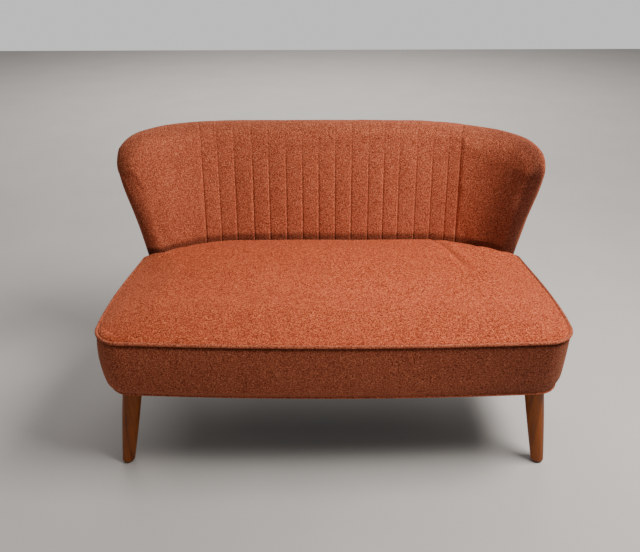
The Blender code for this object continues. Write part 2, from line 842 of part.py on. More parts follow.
def build_seat_border():
    """The cloth wall round the seat box, drawn in towards the hem."""
    base = UNDERSIDE + 2 * HEM_RADIUS + GAP
    walls = []
    for depth in (0, COVER):
        top = [(x, y, border_top(y)) for x, y in box_outline(depth)]
        low = [(x, y, base) for x, y in box_outline(SIDE_TAPER + depth)]
        walls.append((top, low))
    rings = [walls[0][0], walls[0][1], walls[1][1], walls[1][0]]
    loft("seat_border", rings, velvet, ring_shaped=True, smooth_angle=SHARP_CLOTH)


def build_seat_welt():
    """Piping from one wing's foot round the front to the other's."""
    stop = piping_end()
    right = front_edge(0) + front_corner(0)[1:] + [(side_x(stop, 0), stop)]
    route = mirrored(reversed(right[1:])) + right
    tube("seat_welt", [(x, y, SEAT_HEIGHT) for x, y in route], PIPING_RADIUS, velvet)


def build_hem_welt():
    """The turned cord at the bottom edge of the border."""
    outline = box_outline(SIDE_TAPER + COVER / 2)
    level = UNDERSIDE + HEM_RADIUS
    tube("hem_welt", [(x, y, level) for x, y in outline], HEM_RADIUS, velvet, cyclic=True)


def build_seat_hessian():
    inset = 2 * PIPING_RADIUS + GAP
    prism("seat_hessian", seat_outline(inset), HESSIAN_LEVEL, HESSIAN_LEVEL + HESSIAN, hessian)


def build_dust_cover():
    """The cloth under the frame, cut away at its corners to clear the legs."""
    front_leg, rear_leg = leg_tops()
    clear = LEG_TOP_RADIUS + DUST_CLEARANCE
    front_line = front_edge(RAIL_OUT)
    rear_line = rear_bend(RAIL_OUT)
    front_x = front_leg[0] - clear
    front_y = front_leg[1] + clear
    rear_x = rear_leg[0] - clear
    rear_y = rear_leg[1] - clear
    right = [(x, y) for x, y in front_line if x < front_x - GAP]
    right += [(front_x, rail_middle(front_line, front_x)), (front_x, front_y)]
    right += [(side_x(front_y, RAIL_OUT), front_y), (side_x(rear_y, RAIL_OUT), rear_y)]
    right += [(rear_x, rear_y), (rear_x, rail_middle(rear_line, rear_x))]
    right += [(x, y) for x, y in rear_line if x < rear_x - GAP]
    right += [(0, rear_line[-1][1])]
    top = RAIL_BASE - GAP
    prism("dust_cover", both_sides(right), top - DUST_CLOTH, top, black_cloth)


# --------------------------------------------------------------- the back


def build_frame_board(name, columns, levels):
    """A board of the back frame, bent with the back's own surface."""
    sheet_between(
        name,
        grid_faces(columns, levels),
        lambda key: flat_point(key, FRAME_FRONT),
        lambda key: flat_point(key, FRAME_REAR),
        beech,
    )


def build_back_frame():
    build_frame_board("back_top_rail", whole_columns(), HEIGHT_SHARES[4:])
    base = level_share(RAIL_TOP + GAP)
    post_levels = [base] + HEIGHT_SHARES[:4] + [1 - BAY_GAP]
    for hand, side in (("left", -1), ("right", 1)):
        post = wing_columns(side, SEAM_LINE)[3:]
        build_frame_board(f"wing_post_{hand}", post, post_levels)
    half = POST_WIDTH / 2
    build_frame_board("back_centre_post", [(-half, 0), (half, 0)], post_levels)
    rail_base = SEAT_HEIGHT + LOWER_RAIL_RISE
    rail_levels = [level_share(rail_base), level_share(rail_base + LOWER_RAIL_HEIGHT)]
    for hand, side in (("left", -1), ("right", 1)):
        inner = [(side * s, 0) for s in (half + GAP, STRAIGHT_HALF, (STRAIGHT_HALF + SEAM_LINE) / 2)]
        outer = wing_columns(side, SEAM_LINE)[:3] + [(side * SEAM_LINE, side * (1 - BAY_GAP))]
        build_frame_board(f"lower_back_rail_{hand}", inner + outer, rail_levels)


def build_back_hessian():
    front = FRAME_FRONT + LAYER_CLEARANCE
    sheet_between(
        "back_hessian",
        grid_faces(whole_columns(), HEIGHT_SHARES),
        lambda key: flat_point(key, front + HESSIAN),
        lambda key: flat_point(key, front),
        hessian,
    )


def build_back_foam():
    front = FRAME_FRONT + LAYER_CLEARANCE + HESSIAN + GAP
    sheet_between(
        "back_foam",
        grid_faces(whole_columns(), HEIGHT_SHARES),
        lambda key: flat_point(key, BACK_HALF - PAD),
        lambda key: flat_point(key, front),
        foam,
        smooth_angle=SHARP_TIMBER,
    )


def build_back_edge_roll():
    """The half-round stuffed roll over the frame's top and wing edges."""
    angles = ROLL_ANGLES + [-angle for angle in reversed(ROLL_ANGLES[:-1])]
    radius = BACK_HALF - PAD
    rings = []
    for station in whole_rim():
        ring = []
        for angle in angles:
            s, z = edged_place(*station, BACK_HALF - radius * math.cos(angle))
            ring.append(back_point(s, z, radius * math.sin(angle)))
        rings.append(ring)
    loft("back_edge_roll", rings, foam, smooth_angle=SHARP_TIMBER)


def build_back_cloth(name, faces, face):
    """A cloth panel of the back, front (1) or rear (-1)."""
    sheet_between(
        name,
        faces,
        lambda key: roll_point(key, 0, face),
        lambda key: roll_point(key, COVER, face),
        velvet,
        smooth_angle=SHARP_CLOTH,
    )


def build_back_covers():
    top = HEIGHT_SHARES[-1]
    centre = centre_columns(SEAM_LINE - GAP / 2)
    faces = grid_faces(centre, HEIGHT_SHARES) + rim_faces([(*column, top) for column in centre])
    build_back_cloth("inside_back_panel", faces, 1)
    for hand, side in (("left", -1), ("right", 1)):
        start = SEAM_LINE + GAP / 2
        faces = grid_faces(wing_columns(side, start), HEIGHT_SHARES) + rim_faces(wing_rim(side, start))
        build_back_cloth(f"inside_wing_{hand}", faces, 1)
    faces = grid_faces(whole_columns(), HEIGHT_SHARES) + rim_faces(whole_rim())
    build_back_cloth("outside_back_cover", faces, -1)


def main():
    for body in list(bpy.data.objects):
        bpy.data.objects.remove(body, do_unlink=True)
    build_front_rail()
    build_rear_rail()
    build_side_rails()
    build_centre_brace()
    build_corner_blocks()
    build_legs()
    build_springs()
    build_seat_hessian()
    build_seat_foam()
    build_seat_top_cover()
    build_seat_border()
    build_seat_welt()
    build_hem_welt()
    build_dust_cover()
    build_back_frame()
    build_back_hessian()
    build_back_foam()
    build_back_edge_roll()
    build_back_covers()


main()
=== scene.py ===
"""Looks of a small two-seat sofa: channelled wing back, piped seat box, turned legs, bare frame."""

import json
import logging
import math
from bisect import bisect
from dataclasses import dataclass, field, replace
from enum import Enum
from typing import Callable, Iterable, Sequence

import bmesh
import bpy
from mathutils import Matrix, Vector
from mathutils import noise as mathnoise

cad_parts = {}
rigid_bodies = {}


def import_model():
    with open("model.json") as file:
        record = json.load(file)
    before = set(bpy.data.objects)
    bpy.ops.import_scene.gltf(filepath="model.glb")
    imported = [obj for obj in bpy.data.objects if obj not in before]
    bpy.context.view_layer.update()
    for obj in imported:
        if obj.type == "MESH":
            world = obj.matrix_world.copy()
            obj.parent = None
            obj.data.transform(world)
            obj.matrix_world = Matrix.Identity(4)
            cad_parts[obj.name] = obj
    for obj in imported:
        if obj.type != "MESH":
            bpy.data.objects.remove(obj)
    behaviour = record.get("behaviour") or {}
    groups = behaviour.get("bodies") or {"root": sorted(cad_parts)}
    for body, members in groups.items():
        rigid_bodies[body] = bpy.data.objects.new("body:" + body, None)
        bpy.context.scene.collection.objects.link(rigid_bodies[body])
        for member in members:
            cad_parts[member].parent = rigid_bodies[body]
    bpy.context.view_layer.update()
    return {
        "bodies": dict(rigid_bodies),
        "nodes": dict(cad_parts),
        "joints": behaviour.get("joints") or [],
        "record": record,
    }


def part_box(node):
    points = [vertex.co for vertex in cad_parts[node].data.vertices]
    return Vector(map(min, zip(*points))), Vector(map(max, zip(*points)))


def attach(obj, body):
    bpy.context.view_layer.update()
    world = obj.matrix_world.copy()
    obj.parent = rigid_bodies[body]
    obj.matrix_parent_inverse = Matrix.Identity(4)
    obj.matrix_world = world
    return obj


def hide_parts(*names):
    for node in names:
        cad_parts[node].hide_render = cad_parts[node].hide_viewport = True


LOG = logging.getLogger("sofa")
QUARTER = math.pi / 2
FULL_TURN = 2 * math.pi
PLAIN = 0.5  # the shade at a point that leaves its finish as it is

Point = tuple[float, float, float]
Colour = tuple[float, float, float]
Place = tuple[float, float]
Span = tuple[float, float]  # a start and a run, a middle and a width, or a low and a high value
Key = tuple[int, ...]  # column, row and the like of a point in a piece's layout
Socket = bpy.types.NodeSocket


class Hand(Enum):
    """The two sides of the sofa, as someone facing it sees them."""

    LEFT = -1
    RIGHT = 1


class Row(Enum):
    """The two rows of legs."""

    FRONT = "front"
    REAR = "rear"


# ------------------------------------------------------------------ small maths


def smooth(value: float) -> float:
    """Eases a value from 0 to 1, and holds it there outside that range."""
    share = min(max(value, 0.0), 1.0)
    return share * share * (3 - 2 * share)


def eased(value: float, start: float, run: float) -> float:
    """Eases from 0 at start to 1 a run later."""
    return smooth((value - start) / run)


def mean(first: float, second: float) -> float:
    """The mean of two values."""
    return (first + second) / 2


def mix(low: float, high: float, share: float) -> float:
    """The value that lies a share of the way from low to high."""
    return low + (high - low) * share


def hump(value: float, middle: float, width: float) -> float:
    """A bell of height 1 at middle, with that width."""
    return math.exp(-(((value - middle) / width) ** 2))


def spread(count: int) -> list[float]:
    """Shares from 0 to 1 in count equal steps."""
    return [k / count for k in range(count + 1)]


def mirrored(line: Sequence[Place]) -> list[Place]:
    """A line from the middle out to the right, with its mirror image ahead of it."""
    return [(-x, y) for x, y in reversed(line[1:])] + list(line)


# ------------------------------------------------------------------- node work


class NodeBench:
    """Builds one material's node tree, a node at a time."""

    def __init__(self, name: str) -> None:
        """Starts a material with a Principled shader.

        Args:
            name: The material's name.
        """
        self.material = bpy.data.materials.new(name)
        self.material.use_nodes = True
        self.nodes = self.material.node_tree.nodes
        self.links = self.material.node_tree.links
        self.shader = self.nodes["Principled BSDF"]

    def node(self, kind: str, **settings: object) -> bpy.types.Node:
        """Adds a node.

        Args:
            kind: Blender's name for the node.
            settings: Its properties, and its input values by name with spaces as underscores.

        Returns:
            The node.
        """
        made = self.nodes.new(kind)
        for key, value in settings.items():
            if hasattr(made, key):
                setattr(made, key, value)
            else:
                made.inputs[key.replace("_", " ")].default_value = value
        return made

    def join(self, source: Socket, target: Socket) -> None:
        """Links one socket to another."""
        self.links.new(source, target)

    def place(self, stretch: Point = (1.0, 1.0, 1.0), turn: Point = (0.0, 0.0, 0.0)) -> Socket:
        """Object coordinates in metres, stretched and turned.

        Args:
            stretch: Scale along each axis.
            turn: Turn about each axis, in radians.

        Returns:
            The socket that gives the coordinates.
        """
        source = self.node("ShaderNodeTexCoord")
        mapping = self.node("ShaderNodeMapping")
        mapping.inputs["Scale"].default_value = stretch
        mapping.inputs["Rotation"].default_value = turn
        self.join(source.outputs["Object"], mapping.inputs["Vector"])
        return mapping.outputs["Vector"]

    def noise(
        self, where: Socket, scale: float, detail: float = 2.0, rough: float = 0.5, warp: float = 0.0
    ) -> Socket:
        """A cloudy pattern.

        Args:
            where: Coordinates.
            scale: Features in a metre.
            detail: Octaves of finer pattern.
            rough: Strength of the finer octaves.
            warp: How much the pattern twists.

        Returns:
            The socket of its value.
        """
        made = self.node("ShaderNodeTexNoise", Scale=scale, Detail=detail, Roughness=rough, Distortion=warp)
        self.join(where, made.inputs["Vector"])
        return made.outputs["Fac"]

    def bands(self, where: Socket, scale: float, axis: str, warp: float) -> Socket:
        """Soft parallel bands across one axis.

        Args:
            where: Coordinates.
            scale: Bands in a metre.
            axis: The axis that they cross, X or Y.
            warp: How much they waver.

        Returns:
            The socket of its value.
        """
        made = self.node("ShaderNodeTexWave", Scale=scale, Distortion=warp, bands_direction=axis)
        self.join(where, made.inputs["Vector"])
        return made.outputs["Fac"]

    def ramp(
        self, value: Socket, stops: Sequence[tuple[float, Colour]]
    ) -> Socket:
        """Turns a value into a colour.

        Args:
            value: Socket of the value.
            stops: Positions and their colours, lowest first.

        Returns:
            The socket of the colour.
        """
        made = self.node("ShaderNodeValToRGB")
        elements = made.color_ramp.elements
        while len(elements) < len(stops):
            elements.new(1.0)
        for element, (position, colour) in zip(elements, stops):
            element.position = position
            element.color = (*colour, 1.0)
        self.join(value, made.inputs["Fac"])
        return made.outputs["Color"]

    def span(self, value: Socket, low: float, high: float) -> Socket:
        """Maps a value from 0 to 1 onto low to high.

        Args:
            value: Socket of the value.
            low: Result at 0.
            high: Result at 1.

        Returns:
            The socket of the result.
        """
        made = self.node("ShaderNodeMapRange")
        made.inputs["To Min"].default_value = low
        made.inputs["To Max"].default_value = high
        self.join(value, made.inputs["Value"])
        return made.outputs["Result"]

    def blend(
        self,
        way: str,
        share: Socket | float,
        first: Socket,
        second: Socket | Colour,
    ) -> Socket:
        """Blends two colours.

        Args:
            way: MIX, MULTIPLY or another of Blender's ways.
            share: How much of the second shows.
            first: The colour below.
            second: The colour laid over it.

        Returns:
            The socket of the colour.
        """
        made = self.node("ShaderNodeMix", data_type="RGBA", blend_type=way)
        for socket, value in ((made.inputs[0], share), (made.inputs[6], first), (made.inputs[7], second)):
            if isinstance(value, Socket):
                self.join(value, socket)
            elif isinstance(value, tuple):
                socket.default_value = (*value, 1.0)
            else:
                socket.default_value = value
        return made.outputs[2]

    def mottle(
        self, colour: Socket, share: float, pattern: Socket, greys: Span, ends: Span = (0.3, 0.7)
    ) -> Socket:
        """Darkens and lightens a colour by a pattern."""
        shades = self.ramp(pattern, [(end, (grey,) * 3) for end, grey in zip(ends, greys)])
        return self.blend("OVERLAY", share, colour, shades)

    def painted(self, name: str) -> Socket:
        """Value of a named attribute that the mesh carries."""
        made = self.node("ShaderNodeAttribute", attribute_name=name)
        return made.outputs["Fac"]

    def bump(self, heights: Iterable[tuple[Socket, float, float]]) -> None:
        """Raises the surface.

        Args:
            heights: Height sockets, each with its strength and its depth in metres.
        """
        normal = None
        for height, strength, depth in heights:
            made = self.node("ShaderNodeBump", Strength=strength, Distance=depth)
            self.join(height, made.inputs["Height"])
            if normal is not None:
                self.join(normal, made.inputs["Normal"])
            normal = made.outputs["Normal"]
        self.join(normal, self.shader.inputs["Normal"])

    def finish(self, colour: Socket, rough: Socket, **constants: object) -> bpy.types.Material:
        """Feeds the shader.

        Args:
            colour: Base colour socket.
            rough: Roughness socket.
            constants: Other inputs, by name with spaces as underscores.

        Returns:
            The material.
        """
        self.join(colour, self.shader.inputs["Base Color"])
        self.join(rough, self.shader.inputs["Roughness"])
        for key, value in constants.items():
            self.shader.inputs[key.replace("_", " ")].default_value = value
        return self.material


# -------------------------------------------------------------------- finishes


@dataclass(frozen=True)
class PileCloth:
    """Short dense pile in a rust colour, mottled where the tufts lean different ways, and darkened and
    lightened by the painted shade and light that each piece carries in its tone.
    """

    deep: Colour = (0.196, 0.032, 0.013)
    body: Colour = (0.455, 0.096, 0.042)
    light: Colour = (0.800, 0.266, 0.142)
    clumps: float = 270.0
    tufts: float = 560.0
    fibres: float = 1400.0
    drifts: float = 9.0
    sheen: float = 0.22
    tone: float = 1.0
    grain: tuple[float, float, float] = (0.37, 0.50, 0.64)
    # Multipliers of the painted shade and of the painted light that a piece's tone carries: darkest, then
    # lightest.
    painted_shade_and_light: tuple[Colour, Colour] = ((0.22, 0.20, 0.21), (1.75, 1.75, 1.75))

    def material(self, name: str) -> bpy.types.Material:
        """Builds the material.

        Args:
            name: Its name.

        Returns:
            The material.
        """
        bench = NodeBench(name)
        where = bench.place()
        clump = bench.noise(where, self.clumps, 2.0, 0.7)
        tuft = bench.noise(where, self.tufts, 3.0, 0.62)
        fibre = bench.noise(where, self.fibres, 2.0, 0.6)
        brushed = bench.noise(bench.place((55.0, 55.0, 14.0), (0.25, 0.1, 0.6)), 1.0, 3.0, 0.55, 0.6)
        drift = bench.noise(where, self.drifts, 3.0, 0.5, 0.4)
        shades = [tuple(c * self.tone for c in shade) for shade in (self.deep, self.body, self.light)]
        colour = bench.ramp(tuft, list(zip(self.grain, shades)))
        colour = bench.mottle(colour, 0.80, clump, (0.16, 0.84), (0.35, 0.65))
        colour = bench.mottle(colour, 0.30, fibre, (0.35, 0.66))
        colour = bench.mottle(colour, 0.22, brushed, (0.38, 0.62))
        colour = bench.mottle(colour, 0.25, drift, (0.42, 0.58))
        # Painted shade and light: each piece's tone darkens and lightens the colour.
        lean = [(0.0, self.painted_shade_and_light[0]), (PLAIN, (1.0, 1.0, 1.0)), (1.0, self.painted_shade_and_light[1])]
        colour = bench.blend("MULTIPLY", 1.0, colour, bench.ramp(bench.painted("tone"), lean))
        rough = bench.span(tuft, 0.74, 0.95)
        bench.bump(
            [(clump, 0.45, 0.0030), (tuft, 0.60, 0.0022), (fibre, 0.35, 0.0008), (brushed, 0.25, 0.0020)]
        )
        return bench.finish(
            colour,
            rough,
            Sheen_Weight=self.sheen,
            Sheen_Roughness=0.42,
            Sheen_Tint=(1.0, 0.50, 0.30, 1.0),
            Specular_IOR_Level=0.12,
        )


@dataclass(frozen=True)
class Timber:
    """Wood with grain along one axis."""

    dark: Colour
    pale: Colour
    along: Point = (1.0, 1.0, 0.05)
    rings: float = 55.0
    rough: Span = (0.38, 0.55)
    coat: float = 0.0
    shine: float = 0.45
    pores: float = 0.35

    def material(self, name: str) -> bpy.types.Material:
        """Builds the material.

        Args:
            name: Its name.

        Returns:
            The material.
        """
        bench = NodeBench(name)
        where = bench.place(self.along)
        ring = bench.noise(where, self.rings, 4.0, 0.6, 0.9)
        fleck = bench.noise(bench.place(tuple(a * 4 for a in self.along)), 260.0, 2.0, 0.6)
        cloud = bench.noise(bench.place(), 14.0, 2.0)
        middle = tuple(map(mean, self.dark, self.pale))
        colour = bench.ramp(ring, [(0.28, self.dark), (0.52, middle), (0.74, self.pale)])
        pores = bench.ramp(fleck, [(0.35, (0.45,) * 3), (0.55, (1.0,) * 3)])
        colour = bench.blend("MULTIPLY", self.pores, colour, pores)
        colour = bench.mottle(colour, 0.25, cloud, (0.38, 0.62))
        rough = bench.span(ring, *self.rough)
        bench.bump([(fleck, 0.18, 0.0006), (ring, 0.10, 0.0010)])
        return bench.finish(
            colour, rough, Coat_Weight=self.coat, Coat_Roughness=0.22, Specular_IOR_Level=self.shine
        )


@dataclass(frozen=True)
class Metal:
    """Drawn or plated steel with fine scratches."""

    dark: Colour
    pale: Colour
    rough: Span = (0.28, 0.48)
    grain: Point = (1.0, 1.0, 1.0)

    def material(self, name: str) -> bpy.types.Material:
        """Builds the material.

        Args:
            name: Its name.

        Returns:
            The material.
        """
        bench = NodeBench(name)
        scratch = bench.noise(bench.place(self.grain), 900.0, 3.0, 0.6)
        bloom = bench.noise(bench.place(), 90.0, 3.0, 0.6, 0.5)
        colour = bench.ramp(bloom, [(0.3, self.dark), (0.7, self.pale)])
        rough = bench.span(scratch, *self.rough)
        bench.bump([(scratch, 0.15, 0.0003)])
        return bench.finish(colour, rough, Metallic=1.0)


@dataclass(frozen=True)
class WovenCloth:
    """Plain woven cloth such as black cambric."""

    dark: Colour
    pale: Colour
    threads: float = 420.0

    def material(self, name: str) -> bpy.types.Material:
        """Builds the material.

        Args:
            name: Its name.

        Returns:
            The material.
        """
        bench = NodeBench(name)
        where = bench.place()
        warp = bench.bands(where, self.threads, "X", 0.8)
        weft = bench.bands(where, self.threads, "Y", 0.8)
        weave = bench.blend("MULTIPLY", 1.0, warp, weft)
        slub = bench.noise(where, 160.0, 3.0, 0.6)
        colour = bench.ramp(weave, [(0.05, self.dark), (0.6, self.pale)])
        colour = bench.mottle(colour, 0.4, slub, (0.35, 0.65))
        bench.bump([(weave, 0.5, 0.0008), (slub, 0.3, 0.0006)])
        return bench.finish(colour, bench.span(slub, 0.85, 0.98), Specular_IOR_Level=0.2)


@dataclass(frozen=True)
class MouldedPlastic:
    """Matt moulded plastic with a fine grain and scuffs."""

    colour: Colour

    def material(self, name: str) -> bpy.types.Material:
        """Builds the material.

        Args:
            name: Its name.

        Returns:
            The material.
        """
        bench = NodeBench(name)
        grain = bench.noise(bench.place(), 1500.0, 2.0)
        scuff = bench.noise(bench.place((1.0, 6.0, 1.0)), 220.0, 3.0, 0.65, 0.7)
        worn = tuple(c * 2.4 + 0.02 for c in self.colour)
        colour = bench.ramp(scuff, [(0.45, self.colour), (0.8, worn)])
        bench.bump([(grain, 0.2, 0.0002)])
        return bench.finish(colour, bench.span(scuff, 0.42, 0.7))


VELVET = PileCloth()
# The seat top's own copy of the velvet, redder and with less green and blue, its colours set for how the
# ceiling light falls on the top: a lit copy of the velvet, which is painted light.
LIT_SEAT_VELVET = PileCloth(
    deep=(0.215, 0.0265, 0.0083),
    body=(0.487, 0.081, 0.029),
    light=(0.870, 0.226, 0.099),
    clumps=205.0,
    tufts=430.0,
)
PIPING_CLOTH = PileCloth(tufts=620.0, tone=0.94)
LEG_STAIN = Timber(
    dark=(0.138, 0.027, 0.002), pale=(0.410, 0.100, 0.008), rough=(0.42, 0.58), coat=0.04, shine=0.25
)
RAW_BEECH = Timber(dark=(0.40, 0.25, 0.13), pale=(0.62, 0.44, 0.27), rough=(0.6, 0.8))
ZINC = Metal(dark=(0.46, 0.46, 0.45), pale=(0.66, 0.66, 0.64))
OILED_WIRE = Metal(dark=(0.10, 0.10, 0.105), pale=(0.24, 0.24, 0.25), rough=(0.3, 0.5))
CAMBRIC = WovenCloth(dark=(0.006, 0.006, 0.006), pale=(0.030, 0.030, 0.031), threads=300.0)
GLIDE_PLASTIC = MouldedPlastic(colour=(0.025, 0.020, 0.017))


# --------------------------------------------------------------- mesh workbench


class Workbench:
    """Turns points and faces into named pieces of the sofa."""

    def __init__(self) -> None:
        """Starts with no materials made."""
        self.made: dict[str, bpy.types.Material] = {}

    def material(self, name: str, finish: object) -> bpy.types.Material:
        """The material of a finish, built once.

        Args:
            name: Name of the material.
            finish: One of the finishes.

        Returns:
            The material.
        """
        if name not in self.made:
            self.made[name] = finish.material(name)
        return self.made[name]

    def piece(
        self,
        name: str,
        points: Sequence[Point],
        faces: Sequence[Sequence[int]],
        cloth: str,
        finish: object,
        tones: Sequence[float] | None = None,
    ) -> bpy.types.Object:
        """One piece that rides on the sofa.

        Args:
            name: Name of the piece.
            points: Its points in metres.
            faces: Its faces by point number.
            cloth: Name of its material.
            finish: The finish that makes the material.
            tones: Painted shade and light at each point, PLAIN where left out.

        Returns:
            The piece.
        """
        mesh = bpy.data.meshes.new(name)
        mesh.from_pydata([tuple(point) for point in points], [], [tuple(face) for face in faces])
        work = bmesh.new()
        work.from_mesh(mesh)
        bmesh.ops.recalc_face_normals(work, faces=work.faces)
        work.to_mesh(mesh)
        work.free()
        mesh.shade_smooth()
        # The tone attribute carries painted shade and light, which the pile materials multiply into their
        # colour.
        shade = mesh.attributes.new("tone", "FLOAT", "POINT")
        values = list(tones) if tones is not None else [PLAIN] * len(points)
        shade.data.foreach_set("value", values)
        mesh.materials.append(self.material(cloth, finish))
        made = bpy.data.objects.new(name, mesh)
        bpy.context.scene.collection.objects.link(made)
        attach(made, "root")
        return made

    def shell(
        self,
        name: str,
        faces: Sequence[Sequence[Key]],
        outer: Callable[[Key], Point],
        inner: Callable[[Key], Point],
        tone: Callable[[Key], float],
        cloth: str,
        finish: object,
    ) -> bpy.types.Object:
        """A closed piece between two surfaces that share one layout.

        Args:
            name: Name of the piece.
            faces: Faces of the layout, by key.
            outer: Turns a key into a point of the outer surface.
            inner: Turns a key into a point of the inner surface.
            tone: Shade at a key.
            cloth: Name of its material.
            finish: The finish that makes the material.

        Returns:
            The piece. Its first half of points is the outer surface.
        """
        keys = sorted({key for face in faces for key in face})
        index = {key: k for k, key in enumerate(keys)}
        shift = len(keys)
        points = [outer(key) for key in keys] + [inner(key) for key in keys]
        tones = [tone(key) for key in keys] * 2
        solid = []
        uses: dict[tuple[int, int], list] = {}
        for face in faces:
            ring = [index[key] for key in face]
            solid.append(ring)
            solid.append([k + shift for k in reversed(ring)])
            for first, second in zip(ring, ring[1:] + ring[:1]):
                uses.setdefault((min(first, second), max(first, second)), []).append((first, second))
        for edge in uses.values():
            if len(edge) == 1:
                first, second = edge[0]
                solid.append([second, first, first + shift, second + shift])
        return self.piece(name, points, solid, cloth, finish, tones)

    def tube(
        self,
        name: str,
        route: Sequence[Point],
        radius: Callable[[float], float],
        sides: int,
        closed: bool,
        cloth: str,
        finish: object,
        tone: Callable[[float], float] = lambda share: PLAIN,
    ) -> bpy.types.Object:
        """A round cord swept along a level route.

        Args:
            name: Name of the piece.
            route: Points of its middle line.
            radius: Radius at a share of the route.
            sides: Points round it.
            closed: Whether its ends meet.
            cloth: Name of its material.
            finish: The finish that makes the material.
            tone: Shade at a share of the route.

        Returns:
            The piece.
        """
        points: list[Point] = []
        count = len(route)
        for k, middle in enumerate(route):
            ahead = Vector(route[(k + 1) % count] if closed or k < count - 1 else route[k])
            behind = Vector(route[k - 1] if closed or k > 0 else route[k])
            run = (ahead - behind).normalized()
            across = run.cross(Vector((0, 0, 1))).normalized()
            up = across.cross(run)
            for j in range(sides):
                turn = FULL_TURN * j / sides
                reach = across * math.cos(turn) + up * math.sin(turn)
                points.append(tuple(Vector(middle) + reach * radius(k / max(count - 1, 1))))
        faces = []
        for k in range(count if closed else count - 1):
            for j in range(sides):
                low, high = k * sides, (k + 1) % count * sides
                step = (j + 1) % sides
                faces.append((low + j, low + step, high + step, high + j))
        if not closed:
            faces.append(tuple(range(sides)))
            faces.append(tuple((count - 1) * sides + j for j in reversed(range(sides))))
        tones = [tone(k / max(count - 1, 1)) for k in range(count) for _ in range(sides)]
        return self.piece(name, points, faces, cloth, finish, tones)


@dataclass
class Stuffing:
    """Settles padded cloth by simulation, its seams and edges held where they are sewn."""

    pressure: float
    cap: float
    slack: float
    bending: float = 1.2
    stiffness: float = 22.0
    frames: int = 20
    quality: int = 5
    mass: float = 0.25

    def settle(self, piece: bpy.types.Object, held: Sequence[int]) -> None:
        """Blows the cloth up between its seams and keeps the result.

        Args:
            piece: The padded piece, a closed mesh.
            held: Numbers of the points that don't move.
        """
        mesh = piece.data
        rest = [point.co.copy() for point in mesh.vertices]
        group = piece.vertex_groups.new(name="sewn")
        group.add(list(held), 1.0, "REPLACE")
        cloth = piece.modifiers.new("stuffing", "CLOTH")
        settings = cloth.settings
        settings.quality = self.quality
        settings.mass = self.mass
        settings.tension_stiffness = self.stiffness
        settings.compression_stiffness = self.stiffness
        settings.shear_stiffness = self.stiffness / 3
        settings.bending_stiffness = self.bending
        settings.use_pressure = True
        settings.uniform_pressure_force = self.pressure
        settings.shrink_min = -self.slack
        settings.effector_weights.gravity = 0.0
        settings.vertex_group_mass = "sewn"
        cloth.collision_settings.use_collision = False
        cloth.collision_settings.use_self_collision = False
        cloth.point_cache.frame_start = 1
        cloth.point_cache.frame_end = self.frames
        scene = bpy.context.scene
        for frame in range(1, self.frames + 1):
            scene.frame_set(frame)
        settled = piece.evaluated_get(bpy.context.evaluated_depsgraph_get())
        moved = [point.co.copy() for point in settled.to_mesh().vertices]
        settled.to_mesh_clear()
        piece.modifiers.remove(cloth)
        piece.vertex_groups.remove(group)
        scene.frame_set(1)
        for point, start, end in zip(mesh.vertices, rest, moved):
            step = end - start
            if step.length > self.cap:
                step *= self.cap / step.length
            point.co = start + step
        mesh.update()


# ------------------------------------------------------ the sofa's own surfaces


